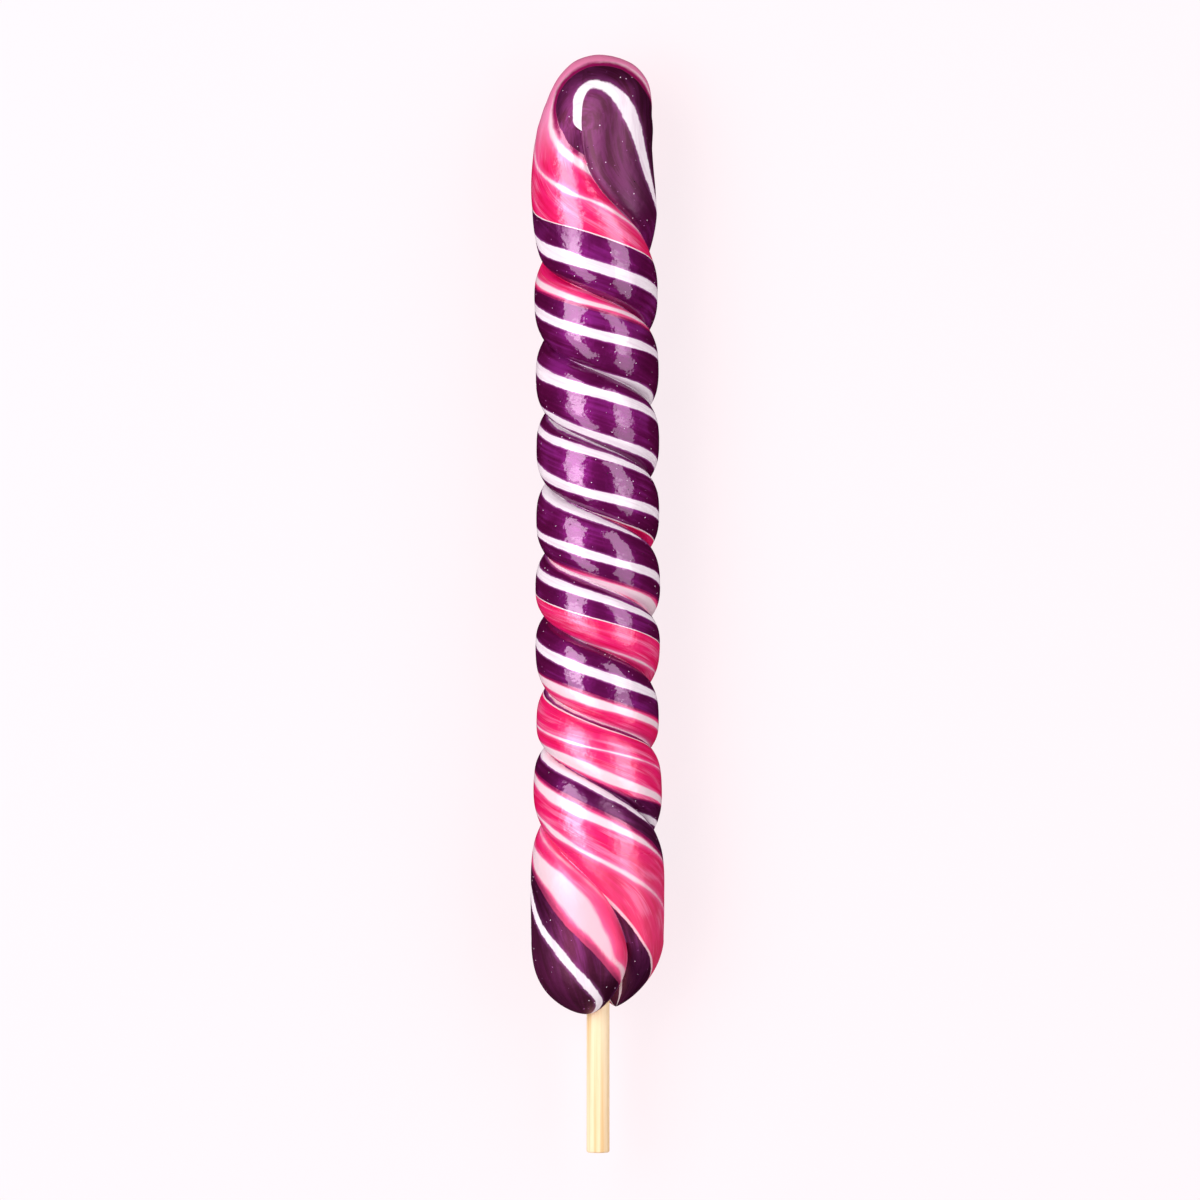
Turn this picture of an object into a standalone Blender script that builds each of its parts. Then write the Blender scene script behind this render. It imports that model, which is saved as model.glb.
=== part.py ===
"""Twist lollipop: a folded rope of striped boiled sugar on a round wooden stick.

The rope is bent double, its two legs are pressed together and twisted left-handed, and both
ends are rounded off where the stick comes out between them. The lollipop lies on its back:
+X is its right, +Y runs from the stick to the folded tip and +Z is up, with z = 0 on the
surface that it lies on. Sizes are in millimetres, and places along the candy are counted
down from its tip.
"""
import math

import bmesh
import bpy

MM = 0.001

# Overall sizes
PART_LENGTH = 192.1        # from the tip of the fold to the end of the stick
STICK_LENGTH = 95.0        # most of it is inside the candy
STICK_RADIUS = 2.0
STICK_OFFSET = 0.1         # to the right of the candy's axis
STICK_ROUNDING = 0.35
GAP = 0.3                  # clearance round the stick
FLAT_DEPTH = 0.25          # how deep the lobes are pressed flat where they lie

# Cross-section of one leg: half of an upright ellipse on short flanks that curl in to the groove
LOBE_REACH = 10.76         # from the axis to the crown of a leg
LOBE_HALF_BREADTH = 9.28
LOBE_RISE = 2.45           # height of the flanks above the plane between the legs
CURL_BREADTH = 1.93        # how far the flanks can curl in
GROOVE_DEPTH = 1.24        # how far they do curl in where the legs meet
CREASE_END_DEPTH = 0.25    # the same at the top of the crease, under the fold

# Places along the candy, down from the tip
CREASE_TOP = 13.7          # the line that the rope folds over
CREASE_DEEP = 20.0         # from here down the groove has its full depth
LEGS_PART = 155.0          # where the two ends come apart
LEFT_END = 167.8           # the fuller end, in front of the stick
RIGHT_END = 166.7

# Rounded ends. The tip's offset is from the axis, outward on the leg's own side. A larger
# fullness keeps the section wide for longer, and a larger taper makes the tip more pointed.
LEFT_TIP_OFFSET = 3.0
LEFT_FULLNESS = 2.4
LEFT_TAPER = 0.55
RIGHT_TIP_OFFSET = 4.5
RIGHT_FULLNESS = 1.6
RIGHT_TAPER = 0.75
OVAL_BREADTH = 0.9         # of the lobe's breadth, in the oval that an end turns into
OVAL_POWER = 2             # how late the section turns into the oval
SHIFT_POWER = 3            # how late the section moves in to the tip's offset

# How far one leg has turned about the axis, in degrees, against the distance from the tip.
# Half a turn goes by between one seam and the next.
TURN = (
    (CREASE_TOP, 195.0), (19.9, 186.0), (23.4, 174.0), (26.7, 156.6), (30.5, 128.0),
    (35.4, 90.0), (42.3, 0.0), (55.7, -180.0), (68.3, -360.0), (80.6, -540.0), (92.7, -720.0),
    (103.9, -900.0), (116.5, -1080.0), (121.3, -1170.0), (127.5, -1260.0), (145.5, -1440.0),
    (148.3, -1454.0), (152.7, -1469.0), (156.7, -1477.0), (160.4, -1481.0), (168.0, -1485.0),
)
# Reach of the legs' crowns from the axis
REACH = (
    (CREASE_TOP, 10.2), (16.7, 10.4), (23.7, 10.9), (28.1, 10.97), (43.0, 10.8),
    (80.6, 10.75), (98.0, 10.95), (115.6, 10.7), (127.0, 11.2), (146.2, 11.7), (168.0, 11.7),
)
# Sideways wander of the axis
WANDER = (
    (CREASE_TOP, -0.5), (16.7, -0.8), (20.0, -0.84), (24.4, -0.7), (28.0, -0.45), (43.0, -0.25),
    (68.3, 0.05), (168.0, 0.0),
)
# How far the grooves at the two sides are swung to the back, in degrees, where one leg bulges
# wider on the side that shows than on the side that it lies on
SWING = (
    (CREASE_TOP, 0.0), (35.0, 9.0), (50.0, 12.0), (75.0, 8.0), (87.0, 8.0), (98.0, 0.0),
    (110.0, 7.0), (121.0, 0.0), (135.0, -5.0), (150.0, 0.0), (168.0, 0.0),
)
# Outline of the fold: its reach from the crease's end, against the angle up and over it
FOLD_REACH = (
    (0.0, 10.2), (17.0, 9.8), (32.0, 10.0), (44.0, 10.6), (63.0, 12.1), (79.0, 13.3),
    (97.0, 13.8), (117.0, 13.85), (133.0, 13.2), (151.0, 11.45), (165.0, 10.4), (180.0, 10.2),
)

# Fineness of the mesh
LEG_STEPS = 20             # across the outside of a leg
CHORD_STEPS = 10           # across the inner face of a loose end
ROPE_STEPS = 102           # along the twisted legs
FOLD_STEPS = 22            # over the fold
END_STEPS = 12             # down each rounded end
ROUND_STEPS = 32           # round the stick and its hole
ROUNDING_STEPS = 3         # round the stick's edges

# Cutters reach past what they cut
CUT_MARGIN = 5.0
SURFACE_WIDTH = 100.0
SURFACE_DEPTH = 20.0

# Plain colours of the two solids, as linear red, green and blue
CANDY_COLOUR = (0.20, 0.015, 0.12)
CANDY_ROUGHNESS = 0.12
STICK_COLOUR = (0.86, 0.66, 0.38)
STICK_ROUGHNESS = 0.6


def smooth_value(stations, place):
    """Value at a place on a curve through the stations that never overshoots them."""
    place = min(max(place, stations[0][0]), stations[-1][0])
    steps = [b[0] - a[0] for a, b in zip(stations, stations[1:])]
    slopes = [(b[1] - a[1]) / h for a, b, h in zip(stations, stations[1:], steps)]
    tangents = [slopes[0]]
    for before, after, h0, h1 in zip(slopes, slopes[1:], steps, steps[1:]):
        if before * after <= 0:
            tangents.append(0.0)
        else:
            w0, w1 = 2 * h1 + h0, h1 + 2 * h0
            tangents.append((w0 + w1) / (w0 / before + w1 / after))
    tangents.append(slopes[-1])
    k = max(i for i in range(len(steps)) if stations[i][0] <= place)
    t = (place - stations[k][0]) / steps[k]
    return ((2 * t**3 - 3 * t**2 + 1) * stations[k][1] + (t**3 - 2 * t**2 + t) * steps[k] * tangents[k]
            + (3 * t**2 - 2 * t**3) * stations[k + 1][1] + (t**3 - t**2) * steps[k] * tangents[k + 1])


def ray_to_ellipse(angle, centre, axes):
    """Distance from the origin along a ray to the far side of an ellipse.

    The angle is taken from the outward direction; centre and axes are (outward, across).
    """
    out, across = math.cos(angle), math.sin(angle)
    a = (out / axes[0]) ** 2 + (across / axes[1]) ** 2
    b = -2 * (out * centre[0] / axes[0] ** 2 + across * centre[1] / axes[1] ** 2)
    c = (centre[0] / axes[0]) ** 2 + (centre[1] / axes[1]) ** 2 - 1
    return (-b + math.sqrt(max(b * b - 4 * a * c, 0.0))) / (2 * a)


def lobe_point(angle, groove_depth):
    """(outward, across) on the outside of a leg, at an angle from its crown in radians."""
    side = abs(angle)
    radius = ray_to_ellipse(side, (LOBE_RISE, 0.0), (LOBE_REACH - LOBE_RISE, LOBE_HALF_BREADTH))
    if radius * math.cos(side) < LOBE_RISE:
        left_over = 1 - groove_depth / CURL_BREADTH
        curl_height = LOBE_RISE / math.sqrt(1 - left_over ** 2)
        radius = ray_to_ellipse(side, (LOBE_RISE, LOBE_HALF_BREADTH - CURL_BREADTH),
                                (curl_height, CURL_BREADTH))
    return radius * math.cos(angle), radius * math.sin(angle)


def lobe_angles():
    """Angles from the crown, from groove to groove, closer together near the grooves."""
    shares = [2 * j / LEG_STEPS - 1 for j in range(LEG_STEPS + 1)]
    return [math.pi / 4 * (u + math.sin(math.pi / 2 * u)) for u in shares]


def groove_depth_at(down):
    """Depth of the groove, which fades out towards the top of the crease."""
    share = min(max((down - CREASE_TOP) / (CREASE_DEEP - CREASE_TOP), 0.0), 1.0)
    return CREASE_END_DEPTH + (GROOVE_DEPTH - CREASE_END_DEPTH) * share


def axis_height(down):
    """Height of the axis above the surface, so that every turn just lies on it."""
    return smooth_value(REACH, down) - FLAT_DEPTH


def place(down, outward, across, turn):
    """World place of a point given in the turned frame of one leg."""
    radius = math.hypot(outward, across)
    angle = turn + math.atan2(across, outward)
    angle -= math.radians(smooth_value(SWING, down)) * math.cos(angle)
    x = smooth_value(WANDER, down) + radius * math.cos(angle)
    z = axis_height(down) + radius * math.sin(angle)
    return (x * MM, (PART_LENGTH / 2 - down) * MM, z * MM)


def leg_turn(down, leg):
    """Direction that a leg's crown faces, in radians; leg is 0 or 1."""
    return math.radians(smooth_value(TURN, down) + 180 * leg)


def leg_ring(bm, down):
    """One closed ring of vertices round both legs, from groove to groove to groove."""
    scale = smooth_value(REACH, down) / LOBE_REACH
    ring = []
    for leg in (0, 1):
        for angle in lobe_angles()[:-1]:
            outward, across = lobe_point(angle, groove_depth_at(down))
            ring.append(bm.verts.new(place(down, outward * scale, across * scale, leg_turn(down, leg))))
    return ring


def skin(bm, first, second):
    """Faces between two closed rings with the same number of vertices."""
    for i in range(len(first)):
        k = (i + 1) % len(first)
        bm.faces.new((first[i], first[k], second[k], second[i]))


def skin_fold(bm, ring):
    """The rope's bend: sections of one leg fanned over the top of the crease."""
    turn = leg_turn(CREASE_TOP, 0)
    breadth = smooth_value(REACH, CREASE_TOP) / LOBE_REACH
    left = ring[:LEG_STEPS + 1]
    right = [ring[0]] + ring[:LEG_STEPS - 1:-1]
    rows = [left]
    for k in range(1, FOLD_STEPS):
        over = math.pi * k / FOLD_STEPS
        length = smooth_value(FOLD_REACH, math.degrees(over)) / LOBE_REACH
        row = [ring[0]]
        for angle in lobe_angles()[1:-1]:
            outward, across = lobe_point(angle, CREASE_END_DEPTH)
            x, y, z = place(CREASE_TOP, outward * length * math.cos(over), across * breadth, turn)
            row.append(bm.verts.new((x, y + outward * length * math.sin(over) * MM, z)))
        row.append(ring[LEG_STEPS])
        rows.append(row)
    rows.append(right)
    for lower, upper in zip(rows, rows[1:]):
        for j in range(LEG_STEPS):
            corners = [lower[j], lower[j + 1], upper[j + 1], upper[j]]
            bm.faces.new(list(dict.fromkeys(corners)))


def skin_end(bm, ring, chord, leg, end, tip_offset, fullness, taper):
    """The rounded loose end of one leg, closed at a tip.

    The section shrinks about its own middle, turns from a half-round into an oval and moves
    in to the tip's offset from the axis.
    """
    first = ring[LEG_STEPS * leg:LEG_STEPS * (leg + 1)] + [ring[LEG_STEPS * (1 - leg)]]
    loop = first + (chord[::-1] if leg == 0 else chord)
    scale = smooth_value(REACH, LEGS_PART) / LOBE_REACH
    section = [lobe_point(angle, GROOVE_DEPTH) for angle in lobe_angles()]
    foot = section[-1][1]
    section += [(0.0, foot * (1 - 2 * k / CHORD_STEPS)) for k in range(1, CHORD_STEPS)]
    middle = LOBE_REACH / 2
    for step in range(1, END_STEPS):
        share = math.sin(math.pi / 2 * step / END_STEPS)
        down = LEGS_PART + (end - LEGS_PART) * share
        shrink = (1 - share ** fullness) ** taper * scale
        offset = middle * scale + (tip_offset - middle * scale) * share ** SHIFT_POWER
        row = []
        for outward, across in section:
            angle = math.atan2(across, outward - middle)
            oval = ray_to_ellipse(angle, (0.0, 0.0), (middle, LOBE_HALF_BREADTH * OVAL_BREADTH))
            plain = math.hypot(across, outward - middle)
            radius = (plain + (oval - plain) * share ** OVAL_POWER) * shrink
            row.append(bm.verts.new(place(down, offset + radius * math.cos(angle),
                                          radius * math.sin(angle), leg_turn(down, leg))))
        skin(bm, loop, row)
        loop = row
    tip = bm.verts.new(place(end, tip_offset, 0.0, leg_turn(end, leg)))
    for i in range(len(loop)):
        bm.faces.new((loop[i], loop[(i + 1) % len(loop)], tip))


def make_rope_mesh():
    """The whole folded and twisted rope as one closed mesh."""
    bm = bmesh.new()
    rings = [leg_ring(bm, CREASE_TOP + (LEGS_PART - CREASE_TOP) * i / ROPE_STEPS)
             for i in range(ROPE_STEPS + 1)]
    for first, second in zip(rings, rings[1:]):
        skin(bm, first, second)
    skin_fold(bm, rings[0])
    last = rings[-1]
    left_foot, right_foot = last[0].co, last[LEG_STEPS].co
    chord = [bm.verts.new(left_foot.lerp(right_foot, k / CHORD_STEPS)) for k in range(1, CHORD_STEPS)]
    skin_end(bm, last, chord, 1, LEFT_END, LEFT_TIP_OFFSET, LEFT_FULLNESS, LEFT_TAPER)
    skin_end(bm, last, chord, 0, RIGHT_END, RIGHT_TIP_OFFSET, RIGHT_FULLNESS, RIGHT_TAPER)
    bmesh.ops.recalc_face_normals(bm, faces=bm.faces)
    mesh = bpy.data.meshes.new("candy")
    bm.to_mesh(mesh)
    bm.free()
    return mesh


def make_material(name, colour, roughness):
    """A plain Principled material."""
    material = bpy.data.materials.new(name)
    material.use_nodes = True
    shader = material.node_tree.nodes["Principled BSDF"]
    shader.inputs["Base Color"].default_value = (*colour, 1.0)
    shader.inputs["Roughness"].default_value = roughness
    shader.inputs["Metallic"].default_value = 0.0
    material.diffuse_color = (*colour, 1.0)
    return material


def adopt(thing, name, collection):
    """Name a new object and keep it in one collection only."""
    thing.name = name
    for other in list(thing.users_collection):
        other.objects.unlink(thing)
    collection.objects.link(thing)
    return thing


def add_rod(name, radius, length, end_down, collection):
    """A round rod on the stick's line, with its lower end at a distance from the tip."""
    middle = PART_LENGTH / 2 - end_down + length / 2
    bpy.ops.mesh.primitive_cylinder_add(
        vertices=ROUND_STEPS, radius=radius * MM, depth=length * MM,
        location=(STICK_OFFSET * MM, middle * MM, axis_height(LEFT_END) * MM),
        rotation=(math.pi / 2, 0.0, 0.0))
    return adopt(bpy.context.object, name, collection)


def add_cut(target, cutter):
    """Take the cutter out of the target."""
    cutter.display_type = "WIRE"
    cutter.hide_render = True
    cut = target.modifiers.new(cutter.name, "BOOLEAN")
    cut.operation = "DIFFERENCE"
    cut.solver = "EXACT"
    cut.object = cutter


def new_collection(name):
    """A new collection in the scene."""
    collection = bpy.data.collections.new(name)
    bpy.context.scene.collection.children.link(collection)
    return collection


def build():
    """Make the candy and its stick."""
    for old in list(bpy.data.objects):
        bpy.data.objects.remove(old, do_unlink=True)
    parts = new_collection("twist_lollipop")
    cutters = new_collection("cutters")

    candy = bpy.data.objects.new("candy", make_rope_mesh())
    parts.objects.link(candy)
    candy.data.materials.append(make_material("candy", CANDY_COLOUR, CANDY_ROUGHNESS))

    hole_length = STICK_LENGTH + GAP + CUT_MARGIN
    hole = add_rod("stick_hole", STICK_RADIUS + GAP, hole_length, PART_LENGTH + CUT_MARGIN, cutters)
    add_cut(candy, hole)

    bpy.ops.mesh.primitive_cube_add(size=MM, location=(0.0, 0.0, -SURFACE_DEPTH / 2 * MM))
    surface = adopt(bpy.context.object, "surface", cutters)
    surface.scale = (SURFACE_WIDTH, PART_LENGTH + 2 * CUT_MARGIN, SURFACE_DEPTH)
    add_cut(candy, surface)
    candy.data.shade_smooth()

    stick = add_rod("stick", STICK_RADIUS, STICK_LENGTH, PART_LENGTH, parts)
    stick.data.materials.append(make_material("stick", STICK_COLOUR, STICK_ROUGHNESS))
    rounding = stick.modifiers.new("rounding", "BEVEL")
    rounding.width = STICK_ROUNDING * MM
    rounding.segments = ROUNDING_STEPS
    rounding.limit_method = "ANGLE"
    stick.data.shade_smooth()


build()
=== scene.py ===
"""Looks of a twist lollipop: a striped sugar rope, folded double and twisted, on a wooden stick.

Lengths are in millimetres unless a name says otherwise, and become metres where a mesh is made.
Angles on the rope are in degrees from the crown of a leg, and places along it are counted down
from the tip of the fold: positive on the first leg, negative on the second, zero at the tip.
"""
import logging
import math
from dataclasses import dataclass, field
from enum import Enum
from typing import Any, NamedTuple, Sequence, Union

import bmesh
import bpy
import numpy as np
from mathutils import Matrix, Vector


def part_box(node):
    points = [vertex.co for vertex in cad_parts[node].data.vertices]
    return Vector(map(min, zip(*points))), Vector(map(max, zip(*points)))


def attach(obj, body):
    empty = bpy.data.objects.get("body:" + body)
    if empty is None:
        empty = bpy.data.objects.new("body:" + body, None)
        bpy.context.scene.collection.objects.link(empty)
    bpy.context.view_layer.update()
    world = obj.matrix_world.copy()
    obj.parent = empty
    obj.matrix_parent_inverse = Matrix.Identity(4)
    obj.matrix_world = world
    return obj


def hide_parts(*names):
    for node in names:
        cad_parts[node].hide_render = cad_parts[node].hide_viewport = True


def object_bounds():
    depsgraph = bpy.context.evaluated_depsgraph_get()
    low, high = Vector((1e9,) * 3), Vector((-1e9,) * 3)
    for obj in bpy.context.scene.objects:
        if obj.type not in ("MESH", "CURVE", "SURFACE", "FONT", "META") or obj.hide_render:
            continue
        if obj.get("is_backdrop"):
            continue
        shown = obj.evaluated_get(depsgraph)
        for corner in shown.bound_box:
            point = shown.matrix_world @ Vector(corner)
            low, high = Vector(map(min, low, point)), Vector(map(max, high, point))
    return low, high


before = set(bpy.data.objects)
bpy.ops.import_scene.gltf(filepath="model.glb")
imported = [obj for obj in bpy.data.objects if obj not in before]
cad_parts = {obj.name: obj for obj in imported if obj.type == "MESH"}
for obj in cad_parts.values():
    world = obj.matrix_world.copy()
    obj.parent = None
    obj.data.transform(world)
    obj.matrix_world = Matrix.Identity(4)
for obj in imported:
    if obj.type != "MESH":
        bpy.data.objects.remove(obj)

log = logging.getLogger("lollipop")

MM = 0.001
Span = tuple[float, float]
Stations = tuple[Span, ...]
Colour = tuple[float, float, float]


def linear(red: int, green: int, blue: int) -> Colour:
    """Linear colour of a display colour.

    Args:
        red, green, blue: Display values from 0 to 255.

    Returns:
        The same colour in linear light, each part from 0 to 1.
    """
    def channel(value: int) -> float:
        """Linear value of one display channel."""
        share = value / 255
        return share / 12.92 if share <= 0.04045 else ((share + 0.055) / 1.055) ** 2.4
    return channel(red), channel(green), channel(blue)


def smooth_value(stations: Stations, place: float) -> float:
    """Value at a place on a curve through the stations that never overshoots them.

    Args:
        stations: Pairs of place and value, in rising order of place.
        place: Where to read the curve; it is held within the first and last station.

    Returns:
        The value there.
    """
    place = min(max(place, stations[0][0]), stations[-1][0])
    steps = [b[0] - a[0] for a, b in zip(stations, stations[1:])]
    slopes = [(b[1] - a[1]) / h for a, b, h in zip(stations, stations[1:], steps)]
    tangents = [slopes[0]]
    for before, after, h0, h1 in zip(slopes, slopes[1:], steps, steps[1:]):
        if before * after <= 0:
            tangents.append(0.0)
        else:
            w0, w1 = 2 * h1 + h0, h1 + 2 * h0
            tangents.append((w0 + w1) / (w0 / before + w1 / after))
    tangents.append(slopes[-1])
    k = max(i for i in range(len(steps)) if stations[i][0] <= place)
    t = (place - stations[k][0]) / steps[k]
    return ((2 * t**3 - 3 * t**2 + 1) * stations[k][1] + (t**3 - 2 * t**2 + t) * steps[k] * tangents[k]
            + (3 * t**2 - 2 * t**3) * stations[k + 1][1] + (t**3 - t**2) * steps[k] * tangents[k + 1])


# ---------------------------------------------------------------- node trees

class Wire:
    """A node's output socket that adds Math nodes when it is used in an expression."""

    def __init__(self, graph: "Graph", socket: bpy.types.NodeSocket) -> None:
        """Wrap a socket of a tree."""
        self.graph = graph
        self.socket = socket

    def __add__(self, other: "Value") -> "Wire":
        """Sum."""
        return self.graph.math("ADD", self, other)

    def __radd__(self, other: "Value") -> "Wire":
        """Sum, reflected."""
        return self.graph.math("ADD", other, self)

    def __sub__(self, other: "Value") -> "Wire":
        """Difference."""
        return self.graph.math("SUBTRACT", self, other)

    def __rsub__(self, other: "Value") -> "Wire":
        """Difference, reflected."""
        return self.graph.math("SUBTRACT", other, self)

    def __mul__(self, other: "Value") -> "Wire":
        """Product."""
        return self.graph.math("MULTIPLY", self, other)

    def __rmul__(self, other: "Value") -> "Wire":
        """Product, reflected."""
        return self.graph.math("MULTIPLY", other, self)


Value = Union[Wire, float]
Paint = Union[Wire, Colour]
Settings = dict[str, Any] | None
Sockets = dict[str | int, Any] | None

# Numbers of the Mix node's sockets when it mixes colours
MIX_FACTOR = 0
MIX_FIRST = 6
MIX_SECOND = 7
MIX_RESULT = 2


class Graph:
    """Builds the nodes of one shader or geometry tree."""

    def __init__(self, tree: bpy.types.NodeTree) -> None:
        """Empty the tree and keep it."""
        self.tree = tree
        tree.nodes.clear()

    def add(self, kind: str, settings: Settings = None, sockets: Sockets = None) -> bpy.types.Node:
        """Add a node.

        Args:
            kind: The node's type.
            settings: Its properties, set first; "stops" gives a ramp's places and colours.
            sockets: Values or wires for its inputs, by name or number.

        Returns:
            The node.
        """
        node = self.tree.nodes.new(kind)
        for name, value in (settings or {}).items():
            if name == "stops":
                self._set_stops(node.color_ramp, value)
            else:
                setattr(node, name, value)
        for key, value in (sockets or {}).items():
            if isinstance(value, Wire):
                self.tree.links.new(value.socket, node.inputs[key])
            else:
                node.inputs[key].default_value = value
        return node

    @staticmethod
    def _set_stops(ramp: bpy.types.ColorRamp, stops: Sequence[tuple[float, Colour]]) -> None:
        """Give a colour ramp its stops.

        Args:
            ramp: The ramp.
            stops: Places from 0 to 1 with their linear colours, at least two.
        """
        while len(ramp.elements) < len(stops):
            ramp.elements.new(1.0)
        for element, (place, colour) in zip(ramp.elements, stops):
            element.position = place
            element.color = (*colour, 1.0)

    def wire(self, kind: str, settings: Settings = None, sockets: Sockets = None,
             output: str | int = 0) -> Wire:
        """Add a node and return one of its outputs, by name or number."""
        return Wire(self, self.add(kind, settings, sockets).outputs[output])

    def math(self, operation: str, *values: Value) -> Wire:
        """A Math node on one to three values."""
        return self.wire("ShaderNodeMath", {"operation": operation}, dict(enumerate(values)))

    def vector(self, operation: str, *values: Any) -> Wire:
        """A Vector Math node on one or two vectors."""
        return self.wire("ShaderNodeVectorMath", {"operation": operation}, dict(enumerate(values)))

    def split(self, vector: Wire) -> tuple[Wire, ...]:
        """The three numbers of a vector."""
        parts = self.add("ShaderNodeSeparateXYZ", {}, {0: vector})
        return tuple(Wire(self, parts.outputs[i]) for i in range(3))

    def join(self, *numbers: Value) -> Wire:
        """A vector from its three numbers."""
        return self.wire("ShaderNodeCombineXYZ", {}, dict(enumerate(numbers)))

    def stored(self, name: str, output: str = "Vector") -> Wire:
        """A mesh attribute, as a shader reads it."""
        return self.wire("ShaderNodeAttribute", {"attribute_name": name}, {}, output)

    def step(self, value: Value, low: Value, high: Value) -> Wire:
        """Rises smoothly from 0 at low to 1 at high."""
        return self.wire("ShaderNodeMapRange", {"interpolation_type": "SMOOTHSTEP"},
                         {"Value": value, "From Min": low, "From Max": high})

    def noise(self, vector: Wire, scale: float, detail: float = 2.0, roughness: float = 0.5) -> Wire:
        """Noise from 0 to 1 over a vector."""
        return self.wire("ShaderNodeTexNoise", {}, {
            "Vector": vector, "Scale": scale, "Detail": detail, "Roughness": roughness})

    def mix_number(self, factor: Wire, first: Wire, second: Wire) -> Wire:
        """Mix two numbers."""
        return first * (1 - factor) + second * factor

    def mix(self, factor: Value, first: Paint, second: Paint) -> Wire:
        """Mix two colours.

        Args:
            factor: Share of the second colour.
            first: A wire or a linear colour.
            second: A wire or a linear colour.

        Returns:
            The mixed colour.
        """
        def filled(colour: Paint) -> Any:
            """A colour with its alpha, or the wire as it is."""
            return colour if isinstance(colour, Wire) else (*colour, 1.0)
        return self.wire("ShaderNodeMix", {"data_type": "RGBA"}, {
            MIX_FACTOR: factor, MIX_FIRST: filled(first), MIX_SECOND: filled(second)}, MIX_RESULT)

    def principled(self, sockets: dict[str | int, Any]) -> Wire:
        """A Principled shader with these inputs."""
        return self.wire("ShaderNodeBsdfPrincipled", {}, sockets)

    def show(self, shader: Wire) -> None:
        """Lead a shader to the material's output."""
        self.add("ShaderNodeOutputMaterial", {}, {"Surface": shader})


def new_material(name: str) -> tuple[bpy.types.Material, Graph]:
    """Make an empty material.

    Args:
        name: The material's name.

    Returns:
        The material and its graph.
    """
    material = bpy.data.materials.new(name)
    material.use_nodes = True
    return material, Graph(material.node_tree)


# ---------------------------------------------------------------- the rope's form

@dataclass(frozen=True)
class LooseEnd:
    """The rounded end of one leg: its tip and how it narrows to it."""

    leg: int
    end: float
    tip_offset: float
    fullness: float
    taper: float

    @property
    def side(self) -> int:
        """1 on the first leg and -1 on the second, as places along the rope are counted."""
        return 1 - 2 * self.leg


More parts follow.
